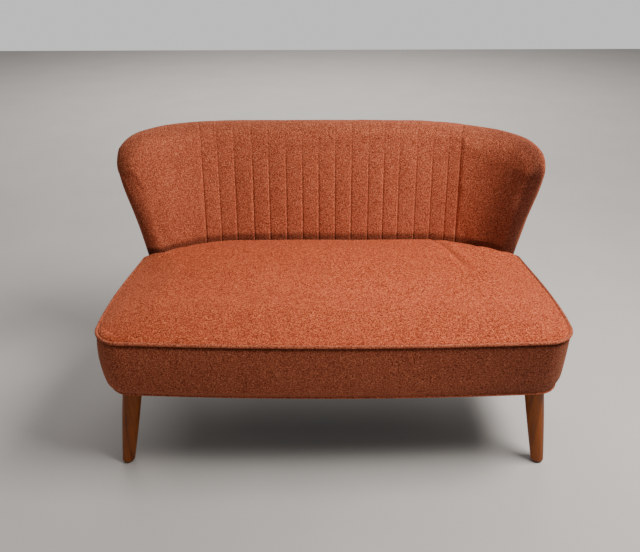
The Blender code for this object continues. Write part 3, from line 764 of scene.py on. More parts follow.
@dataclass
class Shape:
    """Plan of the seat box and middle surface of the back, which every piece follows.

    Lengths are in metres and angles in radians.
    """

    half_width: float
    front: float
    rear: float
    crest: float
    seat: float
    underside: float
    front_bow: float = 0.016
    corner_radius: float = 0.076
    side_taper: float = 0.013
    crown_height: float = 0.022
    crown_run: float = 0.150
    lean: float = math.radians(9.5)
    back_half: float = 0.035
    wing_corner: float = 0.110
    wing_setback: float = 0.0665
    wing_turn: float = 0.2575
    wing_reach: float = 0.109
    wing_spread: float = math.radians(10.7)
    edge_lean: float = math.radians(2.25)
    seam_run: float = 0.132
    piping: float = 0.0045
    hem: float = 0.003
    cloth: float = 0.0018
    gap: float = 0.0003
    rear_corner: float = 0.016
    side_bow: float = 0.009
    right_droop: float = 0.017
    right_span: Span = (0.24, 0.42)
    left_lift: float = 0.004
    left_span: Span = (0.10, 0.40)
    middle_lift: float = 0.004
    middle_span: Span = (-0.06, 0.34)
    tip_droop: float = 0.006
    tip_span: Span = (0.50, 0.09)
    tip_push: float = 0.0075
    push_span: Span = (0.42, 0.16)
    push_height: Span = (0.68, 0.34)

    @classmethod
    def from_frame(cls) -> "Shape":
        """Reads the overall sizes from the frame's boxes.

        Returns:
            The sofa's shape.
        """
        welt_low, welt_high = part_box("seat_welt")
        _, back_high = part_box("outside_back_cover")
        hem_low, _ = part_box("hem_welt")
        middle = (welt_low[2] + welt_high[2]) / 2
        return cls(welt_high[0], welt_low[1], back_high[1], back_high[2], middle, hem_low[2])

    # The back

    @property
    def wing_base(self) -> float:
        """Half width of the back's middle surface at seat level."""
        return self.half_width - self.wing_setback

    @property
    def straight(self) -> float:
        """Half length of the straight of the back in plan."""
        return self.wing_base - self.wing_turn

    @property
    def seam_line(self) -> float:
        """How far out the outermost channel seams lie."""
        return self.straight + self.seam_run

    def back_y(self, z: float) -> float:
        """Y of the back's middle surface on the centre line."""
        return self.rear - self.back_half - math.tan(self.lean) * (self.crest - self.back_half - z)

    def wing_end(self, z: float) -> Place:
        """Middle of the wing's rolled front edge at a height.

        Args:
            z: Height.

        Returns:
            Its x and y on the right wing.
        """
        rise = z - self.seat
        x = self.wing_base + math.tan(self.wing_spread) * rise
        return x, self.back_y(self.seat) - self.wing_reach + math.tan(self.edge_lean) * rise

    def wing_arc(self, z: float) -> Place:
        """Radius and sweep of the bend that turns the back into a wing.

        Args:
            z: Height.

        Returns:
            Radius in metres and sweep in radians.
        """
        x, y = self.wing_end(z)
        run = x - self.straight
        reach = self.back_y(z) - y
        radius = (run * run + reach * reach) / (2 * reach)
        return radius, math.asin(run / radius)

    def edge_length(self, z: float) -> float:
        """Distance along the middle surface from the centre line to the wing's tip."""
        radius, sweep = self.wing_arc(z)
        return self.straight + radius * sweep + self.back_half

    def back_point(self, s: float, z: float, offset: float) -> Point:
        """A point on or beside the back's middle surface.

        Args:
            s: Distance along the surface from the centre line, to the right.
            z: Height.
            offset: Distance from the surface towards the sitter.

        Returns:
            The point.
        """
        side = -1 if s < 0 else 1
        run = abs(s) - self.straight
        if run <= 0:
            return s, self.back_y(z) - offset, z
        radius = self.wing_arc(z)[0]
        turn = run / radius
        x = self.straight + (radius - offset) * math.sin(turn)
        return side * x, self.back_y(z) - radius + (radius - offset) * math.cos(turn), z

    def edged(self, start: float, share: float, level: float, inset: float) -> Place:
        """Place on the back, whose top corners are round.

        Args:
            start: Distance along the back of the innermost column.
            share: 0 at start, 1 where the corner begins and 2 at the wing's edge.
            level: 0 at the seat, 1 where the corner begins and 2 at the crest.
            inset: Distance drawn in from the edge.

        Returns:
            Distance along the back, and height.
        """
        radius = self.wing_corner - inset
        tangent = self.crest - self.wing_corner
        across = max(abs(share) - 1, 0.0)
        up = max(level - 1, 0.0)
        z = mix(self.seat, tangent, min(level, 1.0)) + up * radius
        turn = self.edge_length(z) - self.wing_corner
        side = -1 if start < 0 or share < 0 else 1
        s = mix(abs(start), turn, min(abs(share), 1.0))
        if across > 0:
            s = turn + radius * across * math.sqrt(1 - up * up / 2)
        if up > 0:
            z = tangent + radius * up * math.sqrt(1 - across * across / 2)
        return side * s, z

    def padded_point(self, start: float, share: float, level: float, angle: float, depth: float) -> Point:
        """A point of the back's padding.

        Args:
            start: As in edged.
            share: As in edged.
            level: As in edged.
            angle: 90 degrees on the front, 0 on the crest and edges, -90 degrees behind.
            depth: Distance below the plain rounded surface.

        Returns:
            The point, with the slight unevenness of hand stuffing.
        """
        radius = self.back_half - depth
        s, z = self.edged(start, share, level, self.back_half - radius * math.cos(angle))
        return self.settled(self.back_point(s, z, radius * math.sin(angle)))

    def settled(self, point: Point) -> Point:
        """Where a point of the back comes to rest once the sofa has been used.

        Args:
            point: The point on the even shape.

        Returns:
            The point, lower on the right wing and a touch higher on the left and in the middle.
        """
        x, y, z = point
        height = smooth((z - self.seat) / (self.crest - self.seat))
        drop = self.right_droop * eased(x, *self.right_span) - self.left_lift * eased(-x, *self.left_span)
        drop += self.tip_droop * eased(abs(x), *self.tip_span) - self.middle_lift * hump(x, *self.middle_span)
        push = self.tip_push * eased(abs(x), *self.push_span) * hump(height, *self.push_height)
        return x + math.copysign(push, x), y, z - drop * height

    # The seat box in plan

    def front_circle(self) -> Place:
        """Y of the centre and radius of the front edge's shallow arc.

        Returns:
            The centre's y and the radius.
        """
        half = self.half_width - self.piping - self.corner_radius
        radius = (half * half + self.front_bow**2) / (2 * self.front_bow)
        return self.front + self.piping + radius, radius

    def corner(self) -> Place:
        """Centre of the right front corner.

        Returns:
            Its x and y.
        """
        centre_y, radius = self.front_circle()
        x = self.half_width - self.piping - self.corner_radius
        return x, centre_y - math.sqrt((radius - self.corner_radius) ** 2 - x * x)

    def front_turn(self) -> float:
        """Angle that the front arc turns through from the middle to the corner.

        Returns:
            The angle in radians.
        """
        centre_y, _ = self.front_circle()
        corner = self.corner()
        return math.atan2(corner[0], centre_y - corner[1])

    def side_angle(self) -> float:
        """Angle of the right side's outward direction.

        Returns:
            The angle in radians from the x axis.
        """
        corner = self.corner()
        foot = self.wing_end(self.seat)
        run = (corner[0] - foot[0], corner[1] - foot[1])
        lean = math.acos((self.back_half - self.corner_radius) / math.hypot(*run))
        return math.atan2(run[1], run[0]) + lean

    def side_x(self, y: float, inset: float) -> float:
        """X of the right side at y.

        Args:
            y: Place along the depth.
            inset: Distance drawn in from the edge.

        Returns:
            The x, with the side's slight outward bow.
        """
        angle = self.side_angle()
        corner = self.corner()
        reach = corner[0] * math.cos(angle) + corner[1] * math.sin(angle) + self.corner_radius - inset
        share = min(max((y - corner[1]) / (self.piping_stop() - corner[1]), 0.0), 1.0)
        bow = self.side_bow * math.sin(math.pi * share**0.75) ** 1.3
        return (reach - y * math.sin(angle)) / math.cos(angle) + bow

    def piping_stop(self) -> float:
        """Y where the piping meets the wing's foot."""
        return self.wing_end(self.seat)[1] - self.back_half - self.gap

    @staticmethod
    def arc(centre: Place, radius: float, start: float, end: float, steps: int) -> list[Place]:
        """Points along an arc, both ends included."""
        turns = [mix(start, end, share) for share in spread(steps)]
        return [(centre[0] + radius * math.cos(t), centre[1] + radius * math.sin(t)) for t in turns]

    def front_line(self, inset: float, steps: tuple[int, int] = (60, 22)) -> list[Place]:
        """Right half of the front edge and its corner, from the middle out.

        Args:
            inset: Distance drawn in from the edge.
            steps: Steps along the front and round the corner.

        Returns:
            The line's places.
        """
        centre_y, radius = self.front_circle()
        turn = self.front_turn()
        edge = self.arc((0.0, centre_y), radius - inset, -QUARTER, turn - QUARTER, steps[0])
        corner = self.arc(
            self.corner(), self.corner_radius - inset, turn - QUARTER, self.side_angle(), steps[1]
        )
        return edge + corner[1:]

    def side_line(self, inset: float, steps: int = 40) -> list[Place]:
        """The right side, from the corner to the wing's foot.

        Args:
            inset: Distance drawn in from the edge.
            steps: Steps along it.

        Returns:
            The line's places.
        """
        start = self.front_line(inset)[-1][1]
        stop = self.piping_stop()
        return [(self.side_x(y, inset), y) for y in (mix(start, stop, share) for share in spread(steps))]

    def box_outline(self, inset: float) -> list[Place]:
        """The seat box's closed outline, drawn in by inset.

        Args:
            inset: Distance drawn in from the edge.

        Returns:
            Its places, once round from the middle of the front.
        """
        radius, sweep = self.wing_arc(self.seat)
        reach = self.back_half - inset
        foot = self.arc(self.wing_end(self.seat), reach, self.side_angle(), QUARTER - sweep, 10)
        centre = (self.straight, self.back_y(self.seat) - radius)
        bend = self.arc(centre, radius + reach, QUARTER - sweep, QUARTER, 30)
        behind = [(self.straight * (1 - share), bend[-1][1]) for share in spread(30)]
        right = self.front_line(inset) + self.side_line(inset)[1:] + foot + bend[1:] + behind[1:]
        return right + [(-x, y) for x, y in reversed(right[1:-1])]

    def seat_back_line(self) -> list[Place]:
        """Right half of the line where the seat meets the back, from the middle out.

        Returns:
            The line's places.
        """
        radius, sweep = self.wing_arc(self.seat)
        reach = self.back_half + self.gap
        centre = (self.straight, self.back_y(self.seat) - radius)
        line = [(self.straight * share, self.back_y(self.seat) - reach) for share in spread(40)]
        line += self.arc(centre, radius - reach, QUARTER, QUARTER - sweep, 40)[1:]
        line += self.arc(self.wing_end(self.seat), reach, -QUARTER - sweep, -QUARTER, 10)[1:]
        return line + self.rear_turn(self.piping + self.gap)

    def rear_turn(self, inset: float) -> list[Place]:
        """The seat's small rounded corner at the right wing's foot, from behind to the side.

        Args:
            inset: Distance drawn in from the edge.

        Returns:
            The corner's places.
        """
        y = self.piping_stop() - self.rear_corner
        x = self.side_x(y, self.piping + self.gap) - self.rear_corner
        return self.arc((x, y), self.rear_corner + self.piping + self.gap - inset, QUARTER, 0.0, 12)

    def edge_distance(self, x: float, y: float) -> float:
        """Distance in from the piping, at a place on the seat.

        Args:
            x: Place across the sofa.
            y: Place along its depth.

        Returns:
            The distance, 0 at the piping and beyond it.
        """
        centre_y, radius = self.front_circle()
        corner = self.corner()
        from_front = radius - math.hypot(x, y - centre_y)
        from_side = (self.side_x(y, 0.0) - abs(x)) * math.cos(self.side_angle())
        reach = min(from_front, from_side)
        if abs(x) > corner[0] and y < corner[1]:
            reach = self.corner_radius - math.hypot(abs(x) - corner[0], y - corner[1])
        return max(reach, 0.0)


def resampled(line: Sequence[Place], shares: Sequence[float]) -> list[Place]:
    """Places at given shares of a line's length.

    Args:
        line: Points of the line.
        shares: Shares from 0 to 1, rising.

    Returns:
        One place for each share.
    """
    lengths = [0.0]
    for first, second in zip(line, line[1:]):
        lengths.append(lengths[-1] + math.dist(first, second))
    places = []
    k = 0
    for share in shares:
        wanted = share * lengths[-1]
        while k < len(line) - 2 and lengths[k + 1] < wanted:
            k += 1
        run = lengths[k + 1] - lengths[k]
        along = (wanted - lengths[k]) / run if run > 0 else 0.0
        places.append((mix(line[k][0], line[k + 1][0], along), mix(line[k][1], line[k + 1][1], along)))
    return places


def uneven(point: Sequence[float], scale: float, seed: float = 0.0) -> float:
    """Smooth unevenness from -1 to 1 at a point, with that many features in a metre."""
    where = Vector((point[0] * scale + seed, point[1] * scale - seed, point[2] * scale + 2 * seed))
    return mathnoise.noise(where)


# ------------------------------------------------------------------ the seat pad


@dataclass
class Crease:
    """A soft wrinkle in the seat cloth."""

    start: Place
    end: Place
    depth: float
    width: float

    def height(self, x: float, y: float) -> float:
        """Rise of the cloth at a place, negative in the valley of the wrinkle.

        Args:
            x: Place across the sofa.
            y: Place along its depth.

        Returns:
            The rise in metres.
        """
        run = (self.end[0] - self.start[0], self.end[1] - self.start[1])
        length = math.hypot(*run)
        along = ((x - self.start[0]) * run[0] + (y - self.start[1]) * run[1]) / length**2
        across = ((x - self.start[0]) * run[1] - (y - self.start[1]) * run[0]) / length
        fade = smooth(along * 3 + 0.6) * smooth((1.1 - along) * 2.2)
        valley = hump(across, 0.0, self.width)
        ridge = 0.75 * hump(across, 1.9 * self.width, 1.2 * self.width)
        ridge += 0.45 * hump(across, -2.1 * self.width, 1.3 * self.width)
        return self.depth * fade * (ridge - valley)


@dataclass
class Seat:
    """The sprung seat: its crowned pad, cloth wall, piping and hem."""

    bench: Workbench
    shape: Shape
    columns: int = 180
    rows: int = 96
    edge_roll: float = 0.0045
    edge_run: float = 0.016
    tuck: float = 0.013
    tuck_run: float = 0.013
    rear_run: float = 0.050
    simulated_rise: float = 0.004
    seam_lift: float = 0.0008
    rear_blend: float = 0.16
    unevenness: float = 0.0012
    creases: list[Crease] = field(
        default_factory=lambda: [
            Crease((0.335, 0.215), (0.405, -0.020), 0.0045, 0.0100),
            Crease((-0.470, 0.120), (-0.400, 0.020), 0.0008, 0.0110),
        ]
    )
    # Painted shade and light in the pad's tone: across each wrinkle, in the middle, at the front and in the
    # crease behind.
    crease_painted_shade: float = 42.0
    pad_tone: float = 0.46
    middle_painted_light: float = 0.08
    front_shade: float = 0.045
    tuck_shade: float = 0.38
    stuffing: Stuffing = field(default_factory=lambda: Stuffing(pressure=1.6, cap=0.007, slack=0.003))
    wall_levels: int = 34
    wall_drop: float = 0.0040
    wall_lap: float = 0.0015
    lower_curl: float = 0.0075
    curl_start: Span = (0.86, 0.72)
    wall_swell: Span = (0.0085, 0.0020)
    # Painted shade on the wall's tone: over all of it, and more at the front, most towards the right.
    wall_painted_shade: float = 0.10
    front_painted_shade: tuple[float, float, float] = (0.065, 0.17, 0.06)

    def build(self) -> list[bpy.types.Object]:
        """Builds and dresses the seat."""
        return [self.pad(), self.wall(), self.piping(), self.hem()]

    def pad_places(self) -> list[list[Place]]:
        """Plan of the pad's grid, row by row from the front to the back.

        Returns:
            The rows, each from left to right.
        """
        inset = self.shape.piping + self.shape.gap
        half = self.columns // 2
        shares = spread(half)
        ahead = resampled(self.shape.front_line(inset), shares)
        behind = resampled(self.shape.seat_back_line(), shares)
        ends = list(zip(mirrored(ahead), mirrored(behind)))
        rows = []
        for share in spread(self.rows):
            crowded = share - 0.6 * math.sin(FULL_TURN * share) / FULL_TURN
            row = [(mix(a[0], b[0], crowded), mix(a[1], b[1], crowded)) for a, b in ends]
            widen = self.shape.side_x(row[-1][1], inset) / row[-1][0]
            rows.append([(x * widen, y) for x, y in row])
        return rows

    def pad_height(self, place: Place, from_back: float, simulated: bool) -> float:
        """Height of the pad's top.

        Args:
            place: Place in plan.
            from_back: Distance from the back.
            simulated: Whether the stuffing still has to rise.

        Returns:
            The height.
        """
        reach = self.shape.edge_distance(*place)
        crown = self.shape.crown_height - (self.simulated_rise if simulated else 0.0)
        run = mix(self.rear_run, self.shape.crown_run, smooth(from_back / self.rear_blend))
        rise = crown * math.sin(min(reach / run, 1.0) * QUARTER)
        rise += self.edge_roll * (smooth(reach / self.edge_run) - 0.5 * smooth(reach / self.shape.crown_run))
        rise -= self.tuck * (1 - smooth(from_back / self.tuck_run))
        rise += self.unevenness * uneven((*place, 0.0), 6.0, 3.1) * smooth(reach / 0.06)
        return self.shape.seat + self.seam_lift + rise

    def pad(self) -> bpy.types.Object:
        """The crowned pad, its cloth tucked behind and sewn to the piping.

        Returns:
            The piece.
        """
        places = self.pad_places()
        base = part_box("seat_foam")[0][2]
        last = self.rows
        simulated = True

        def top(key: Key) -> Point:
            """Point of the pad's top.

            Args:
                key: Row and column.

            Returns:
                The point.
            """
            place = places[key[0]][key[1]]
            from_back = math.dist(place, places[last][key[1]])
            return *place, self.pad_height(place, from_back, simulated)

        def under(key: Key) -> Point:
            """Point of the pad's underside."""
            return *places[key[0]][key[1]], base

        def tone(key: Key) -> float:
            """Painted shade and light on the cloth: lighter in the middle, darker towards the front and in
            the crease behind, and darker in each wrinkle's valley and lighter on its ridges.

            Args:
                key: Row and column.

            Returns:
                The shade.
            """
            place = places[key[0]][key[1]]
            from_back = math.dist(place, places[last][key[1]])
            middle = self.middle_painted_light * hump(place[0], 0.0, 0.45) * hump(place[1], -0.02, 0.20)
            ahead = self.front_shade * eased(-place[1], 0.16, 0.14)
            painted_shade_and_light = self.crease_painted_shade * sum(crease.height(*place) for crease in self.creases)
            tucked = self.tuck_shade * (1 - smooth(from_back / 0.010))
            return self.pad_tone + middle - ahead + painted_shade_and_light - tucked

        faces = [
            ((r, c), (r, c + 1), (r + 1, c + 1), (r + 1, c)) for r in range(last) for c in range(self.columns)
        ]
        pad = self.bench.shell("seat_pad", faces, top, under, tone, "lit_seat_pile", LIT_SEAT_VELVET)
        count = len(pad.data.vertices) // 2
        width = self.columns + 1
        edge = [k for k in range(count) if k % width in (0, self.columns) or k // width in (0, last)]
        self.stuffing.settle(pad, edge + list(range(count, 2 * count)))
        for point in pad.data.vertices[:count]:
            for crease in self.creases:
                reach = smooth(self.shape.edge_distance(point.co.x, point.co.y) / 0.03)
                point.co.z += crease.height(point.co.x, point.co.y) * reach
        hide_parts("seat_foam", "seat_top_cover", "seat_hessian")
        return pad

    def wall_inset(self, share: float, x: float) -> float:
        """How far the cloth wall stands in from the piping's line.

        Args:
            share: 0 at its top and 1 at the hem.
            x: Place across the sofa.

        Returns:
            The distance, the wall curling in from a little higher on the right.
        """
        under_piping = self.wall_drop * (1 - smooth(share / 0.07))
        taper = (self.shape.side_taper - self.lower_curl) * share
        start = mix(*self.curl_start, eased(x, -0.5, 1.0))
        curl = self.lower_curl * smooth((share - start) / (1 - start)) ** 1.5
        return under_piping + taper + curl

    def wall(self) -> bpy.types.Object:
        """The cloth wall round the seat box, a little fuller on the left.

        Returns:
            The piece.
        """
        shape = self.shape
        low = shape.underside + 2 * shape.hem - self.wall_lap
        ring = shape.box_outline(0.0)
        count = len(ring)
        stop = shape.piping_stop() + shape.gap
        per_metre = 100

        def side(inner: float) -> Callable[[Key], Point]:
            """Surface of the wall, that far inside its face.

            Args:
                inner: Distance inside the face.

            Returns:
                A function that turns a step along the outline and a level into a point.
            """
            rows = []
            plain = shape.box_outline(inner)
            drawn = shape.box_outline(inner + 1 / per_metre)
            for share in spread(self.wall_levels):
                row = []
                for k, ((x, y), (dx, dy)) in enumerate(zip(plain, drawn)):
                    piped = ring[k][1] <= stop
                    z = mix(shape.seat - (self.wall_drop if piped else 0.0005), low, share)
                    swell = mix(*self.wall_swell, eased(ring[k][0], -0.45, 0.9))
                    swell += 0.0008 * uneven((x, y, z), 9.0, 1.7)
                    swell *= math.sin(math.pi * share) ** 0.8 * (1 if piped else 0.3)
                    weight = per_metre * (self.wall_inset(share, ring[k][0]) - swell)
                    row.append((mix(x, dx, weight), mix(y, dy, weight), z))
                rows.append(row)
            return lambda key: rows[key[1]][key[0]]

        def tone(key: Key) -> float:
            """Painted shade on the wall: darker all over, more at the front and most towards its right, and
            darker under the piping and above the hem.

            Args:
                key: Step along the outline, and level.

            Returns:
                The shade.
            """
            share = key[1] / self.wall_levels
            x, y = ring[key[0]]
            base, right, left = self.front_painted_shade
            front = base + right * eased(x, 0.15, 0.40) - left * eased(-x, 0.50, 0.08)
            painted_shade = self.wall_painted_shade + smooth((-0.12 - y) / 0.15) * front
            return PLAIN - painted_shade - 0.32 * (1 - smooth(share / 0.07)) - 0.05 * eased(share, 0.9, 0.1)

        faces = []
        for j in range(self.wall_levels):
            for k in range(count):
                step = (k + 1) % count
                faces.append(((k, j), (k, j + 1), (step, j + 1), (step, j)))
        outer, inner = side(0.0), side(shape.cloth)
        wall = self.bench.shell("seat_wall_cloth", faces, outer, inner, tone, "pile_cloth", VELVET)
        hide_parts("seat_border")
        girth = sum(math.dist(a, b) for a, b in zip(ring, ring[1:] + ring[:1]))
        return wall

    def piping(self) -> bpy.types.Object:
        """The piping round the front and sides of the seat.

        Returns:
            The piece.
        """
        shape = self.shape
        turn = list(reversed(shape.rear_turn(0.0)[3:]))
        side = [place for place in shape.side_line(0.0)[1:] if place[1] < turn[0][1]]
        line = []
        for x, y in mirrored(shape.front_line(0.0) + side + turn):
            wave = 0.0007 * uneven((x, y, 0.0), 12.0, 5.0)
            line.append((x, y, shape.seat + wave))
        radius = shape.piping
        cord = self.bench.tube(
            "seat_piping",
            line,
            lambda share: radius * (1 + 0.03 * math.sin(900 * share)),
            14,
            False,
            "piping_cloth",
            PIPING_CLOTH,
            # Painted shade along the right-hand side of the piping and at its left rear end.
            lambda share: PLAIN - 0.26 * eased(share, 0.74, 0.2) - 0.24 * (1 - smooth(share / 0.10)),
        )
        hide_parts("seat_welt")
        return cord

    def hem(self) -> bpy.types.Object:
        """The thin cord at the bottom edge of the wall.

        Returns:
            The piece.
        """
        shape = self.shape
        outline = shape.box_outline(shape.side_taper + shape.cloth / 2)
        line = [(x, y, shape.underside + shape.hem) for x, y in outline]
        cord = self.bench.tube(
            "hem_piping", line, lambda share: shape.hem, 10, True, "piping_cloth", PIPING_CLOTH
        )
        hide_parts("hem_welt")
        return cord


# ---------------------------------------------------------------------- the back


@dataclass
class Back:
    """The winged back: channelled middle, two plain wings and the cloth behind."""

    bench: Workbench
    shape: Shape
    channel_widths: tuple[int, ...] = (53, 55, 58, 51, 54, 51, 51, 52, 51, 53, 48, 48, 54, 53, 52, 40)
    steps: tuple[float, ...] = (
        *(0.0, 0.03, 0.06, 0.10, 0.16, 0.26, 0.38),
        *(0.50, 0.62, 0.74, 0.84, 0.90, 0.94, 0.97),
    )
    face_levels: int = 40
    corner_levels: int = 15
    wing_steps: int = 17
    roll_steps: int = 18
    wrap: float = math.radians(-62)
    seam_depth: float = 0.0021
    seam_width: float = 0.0018
    channel_rise: float = 0.0009
    wing_groove: float = 0.0055
    wing_swell: float = 0.0035
    thickness: float = 0.016
    rear_hollow: float = 0.0022
    rear_tuck: float = 0.0022
    channel_stuffing: Stuffing = field(
        default_factory=lambda: Stuffing(pressure=1.4, cap=0.0018, slack=0.0, bending=8.0)
    )
    wing_stuffing: Stuffing = field(
        default_factory=lambda: Stuffing(pressure=1.3, cap=0.003, slack=0.001, bending=6.0)
    )

    def build(self) -> list[bpy.types.Object]:
        """Builds and dresses the back.

        Returns:
            Its pieces.
        """
        pieces = [self.channelled()]
        pieces += [self.wing(hand) for hand in Hand]
        return pieces + [self.outside()]

    def levels(self) -> list[float]:
        """Levels from the seat to the crest, as Shape.edged takes them."""
        return spread(self.face_levels) + [1 + share for share in spread(self.corner_levels)[1:]]

    def angles(self, start: float, end: float, steps: int) -> list[float]:
        """Angles round the rolled edge."""
        return [mix(start, end, share) for share in spread(steps)]

    def fade(self, level: float, angle: float) -> float:
        """How deep the seams are drawn in, less towards the crest and behind it."""
        up = 1 - 0.72 * eased(level, 0.35, 1.25)
        return up * (0.35 + 0.65 * smooth((angle - self.wrap) / (QUARTER - self.wrap) * 1.6))

    def seams(self) -> list[float]:
        """Where the channel seams lie along the back, from left to right.

        Returns:
            Distances along the back from the centre line.
        """
        limit = self.shape.seam_line - self.shape.gap / 2
        widths = self.channel_widths
        return [limit * (2 * sum(widths[:k]) / sum(widths) - 1) for k in range(len(widths) + 1)]

    def channel_depth(self, s: float, level: float, angle: float) -> float:
        """Depth of the channelled cloth below the plain surface.

        Args:
            s: Distance along the back.
            level: Level as Shape.edged takes it.
            angle: Angle round the roll.

        Returns:
            The depth in metres.
        """
        seams = self.seams()
        k = min(max(bisect(seams, s), 1), len(seams) - 1)
        share = (s - seams[k - 1]) / (seams[k] - seams[k - 1])
        nearest = min(abs(s - seams[k - 1]), abs(seams[k] - s))
        rise = self.channel_rise * (1 - abs(math.sin(math.pi * share)) ** 0.75)
        groove = self.seam_depth * hump(nearest, 0.0, self.seam_width)
        wobble = 0.0010 * uneven((s * 2.2, level * 0.35, angle * 0.2), 9.0, 2.0)
        return (rise + groove) * self.fade(level, angle) + wobble

    def wing_depth(self, s: float, share: float, level: float, angle: float) -> float:
        """Depth of a wing's cloth below the plain surface, fuller in the middle of the wing.

        Args:
            s: Distance along the back.
            share: As Shape.edged takes it.
            level: As Shape.edged takes it.
            angle: Angle round the roll.

        Returns:
            The depth in metres.
        """
        near = abs(abs(s) - self.shape.seam_line)
        groove = (self.seam_depth * 0.9 + self.channel_rise) * hump(near, 0.0, self.wing_groove)
        full = self.wing_swell * math.sin(math.pi * min(abs(share) / 2, 1.0))
        full *= math.sin(math.pi * min(level / 2, 1.0))
        wobble = 0.0012 * uneven((s * 1.2, level * 0.3, angle * 0.25), 7.0, 6.0)
        return groove * self.fade(level, angle) - full * smooth(math.sin(max(angle, 0.0))) + wobble

    def tone(self, past: float, level: float, angle: float) -> float:
        """Painted shade and light on the cloth.

        Args:
            past: Distance to the right of the nearest seam.
            level: Level as Shape.edged takes it.
            angle: Angle round the roll.

        Returns:
            The shade: painted light on the left of a seam and painted shade on its right, with painted shade
                over the top roll and at the foot by the seat.
        """
        seam_light_and_shade = 0.20 * hump(past, -0.0026, 0.0020) - 0.18 * hump(past, 0.0016, 0.0022)
        # Painted shade over the top roll and in the crease at the foot of the back.
        crest = 0.14 * smooth((QUARTER - angle) / 0.8) * smooth((angle + 0.9) / 0.9)
        foot = 0.10 * (1 - smooth(level / 0.20)) + 0.28 * (1 - eased(level, 0.085, 0.045))
        return PLAIN + seam_light_and_shade * self.fade(level, angle) - crest - foot

    def wing_painted_shade(self, hand: Hand, share: float, level: float, angle: float) -> float:
        """Painted shade on a wing: how much darker it is drawn towards its outer edge and round its roll, far
        more on the right wing.

        Args:
            hand: Which wing.
            share: As Shape.edged takes it.
            level: As Shape.edged takes it.
            angle: Angle round the roll.

        Returns:
            The shade to take away.
        """
        roll = 1 - smooth(math.sin(max(angle, 0.0)))
        high = eased(level, 1.05, 0.75)
        inner = smooth((angle + 0.5) / 1.0)
        if hand is Hand.RIGHT:
            face = 0.38 * smooth((abs(share) + 0.1) / 1.9) * (1 - 0.4 * high)
            return inner * (face + 0.13 * roll * (1 - 0.3 * high))
        return inner * (0.08 * eased(abs(share), 1.1, 0.8) + 0.02 * roll * (1 - high))

    def channelled(self) -> bpy.types.Object:
        """The middle of the back, sewn into upright channels.

        Returns:
            The piece.
        """
        shape = self.shape
        seams = self.seams()
        columns = [mix(low, high, step) for low, high in zip(seams, seams[1:]) for step in self.steps]
        columns.append(seams[-1])
        levels = self.levels()
        rows = [(level, QUARTER) for level in levels]
        rows += [(levels[-1], angle) for angle in self.angles(QUARTER, self.wrap, self.roll_steps)[1:]]

        def outer(key: Key) -> Point:
            """Point of the cloth."""
            s, (level, angle) = columns[key[0]], rows[key[1]]
            return shape.padded_point(s, 0.0, level, angle, self.channel_depth(s, level, angle))

        def inner(key: Key) -> Point:
            """Point of the stuffing's hidden side."""
            level, angle = rows[key[1]]
            return shape.padded_point(columns[key[0]], 0.0, level, angle, self.thickness)

        def tone(key: Key) -> float:
            """Painted shade and light on the cloth.

            Args:
                key: Column and row.

            Returns:
                The shade.
            """
            s = columns[key[0]]
            plain = self.tone(math.inf, *rows[key[1]])
            painted_shade_and_light = self.tone(min((s - seam for seam in seams), key=abs), *rows[key[1]])
            return mix(plain, painted_shade_and_light, 1 - 0.4 * eased(s, 0.10, 0.25))

        across, up = len(columns), len(rows)
        faces = [
            ((c, r), (c + 1, r), (c + 1, r + 1), (c, r + 1)) for c in range(across - 1) for r in range(up - 1)
        ]
        panel = self.bench.shell("channelled_back", faces, outer, inner, tone, "pile_cloth", VELVET)
        sewn = [
            c * up + r
            for c in range(across)
            for r in range(up)
            if c % len(self.steps) == 0 or r in (0, up - 1)
        ]
        hidden = list(range(across * up, 2 * across * up))
        self.channel_stuffing.settle(panel, sewn + hidden)
        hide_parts("inside_back_panel", "back_foam", "back_edge_roll", "back_hessian")
        return panel

    @staticmethod
    def rolled_faces(columns: int, levels: int, rim: Sequence[Key], rolls: int) -> list[tuple[Key, ...]]:
        """Layout of a cloth that is flat in the middle and rolls over at its rim.

        Args:
            columns: Faces across the flat.
            levels: Faces up the flat.
            rim: Column and level of each point where the roll starts.
            rolls: Faces round the roll.

        Returns:
            The faces, by column, level and step round the roll.
        """
        faces = []
        for c in range(columns):
            for r in range(levels):
                faces.append(((c, r, 0), (c + 1, r, 0), (c + 1, r + 1, 0), (c, r + 1, 0)))
        for one, two in zip(rim, rim[1:]):
            for a in range(rolls):
                faces.append(((*one, a), (*two, a), (*two, a + 1), (*one, a + 1)))
        return faces

    def wing(self, hand: Hand) -> bpy.types.Object:
        """One plain padded wing.

        Args:
            hand: Which side it is on.

        Returns:
            The piece.
        """
        shape = self.shape
        side = hand.value
        start = side * (shape.seam_line + shape.gap / 2)
        shares = [0.0, 0.02, 0.05, 0.10]
        shares += [share * 2 for share in spread(self.wing_steps) if share * 2 > 0.11]
        levels = self.levels()
        angles = self.angles(QUARTER, self.wrap, self.roll_steps)
        last_share, last_level = len(shares) - 1, len(levels) - 1
        rim = [(last_share, r) for r in range(last_level + 1)]
        rim += [(c, last_level) for c in range(last_share - 1, -1, -1)]

        def outer(key: Key) -> Point:
            """Point of the cloth.

            Args:
                key: Step along the wing, level, and step round the roll.

            Returns:
                The point.
            """
            share, level, angle = shares[key[0]], levels[key[1]], angles[key[2]]
            s, _ = shape.edged(start, side * share, level, shape.back_half)
            depth = self.wing_depth(s, share, level, angle)
            return shape.padded_point(start, side * share, level, angle, depth)

        def inner(key: Key) -> Point:
            """Point of the stuffing's hidden side."""
            share, level, angle = shares[key[0]], levels[key[1]], angles[key[2]]
            return shape.padded_point(start, side * share, level, angle, self.thickness)

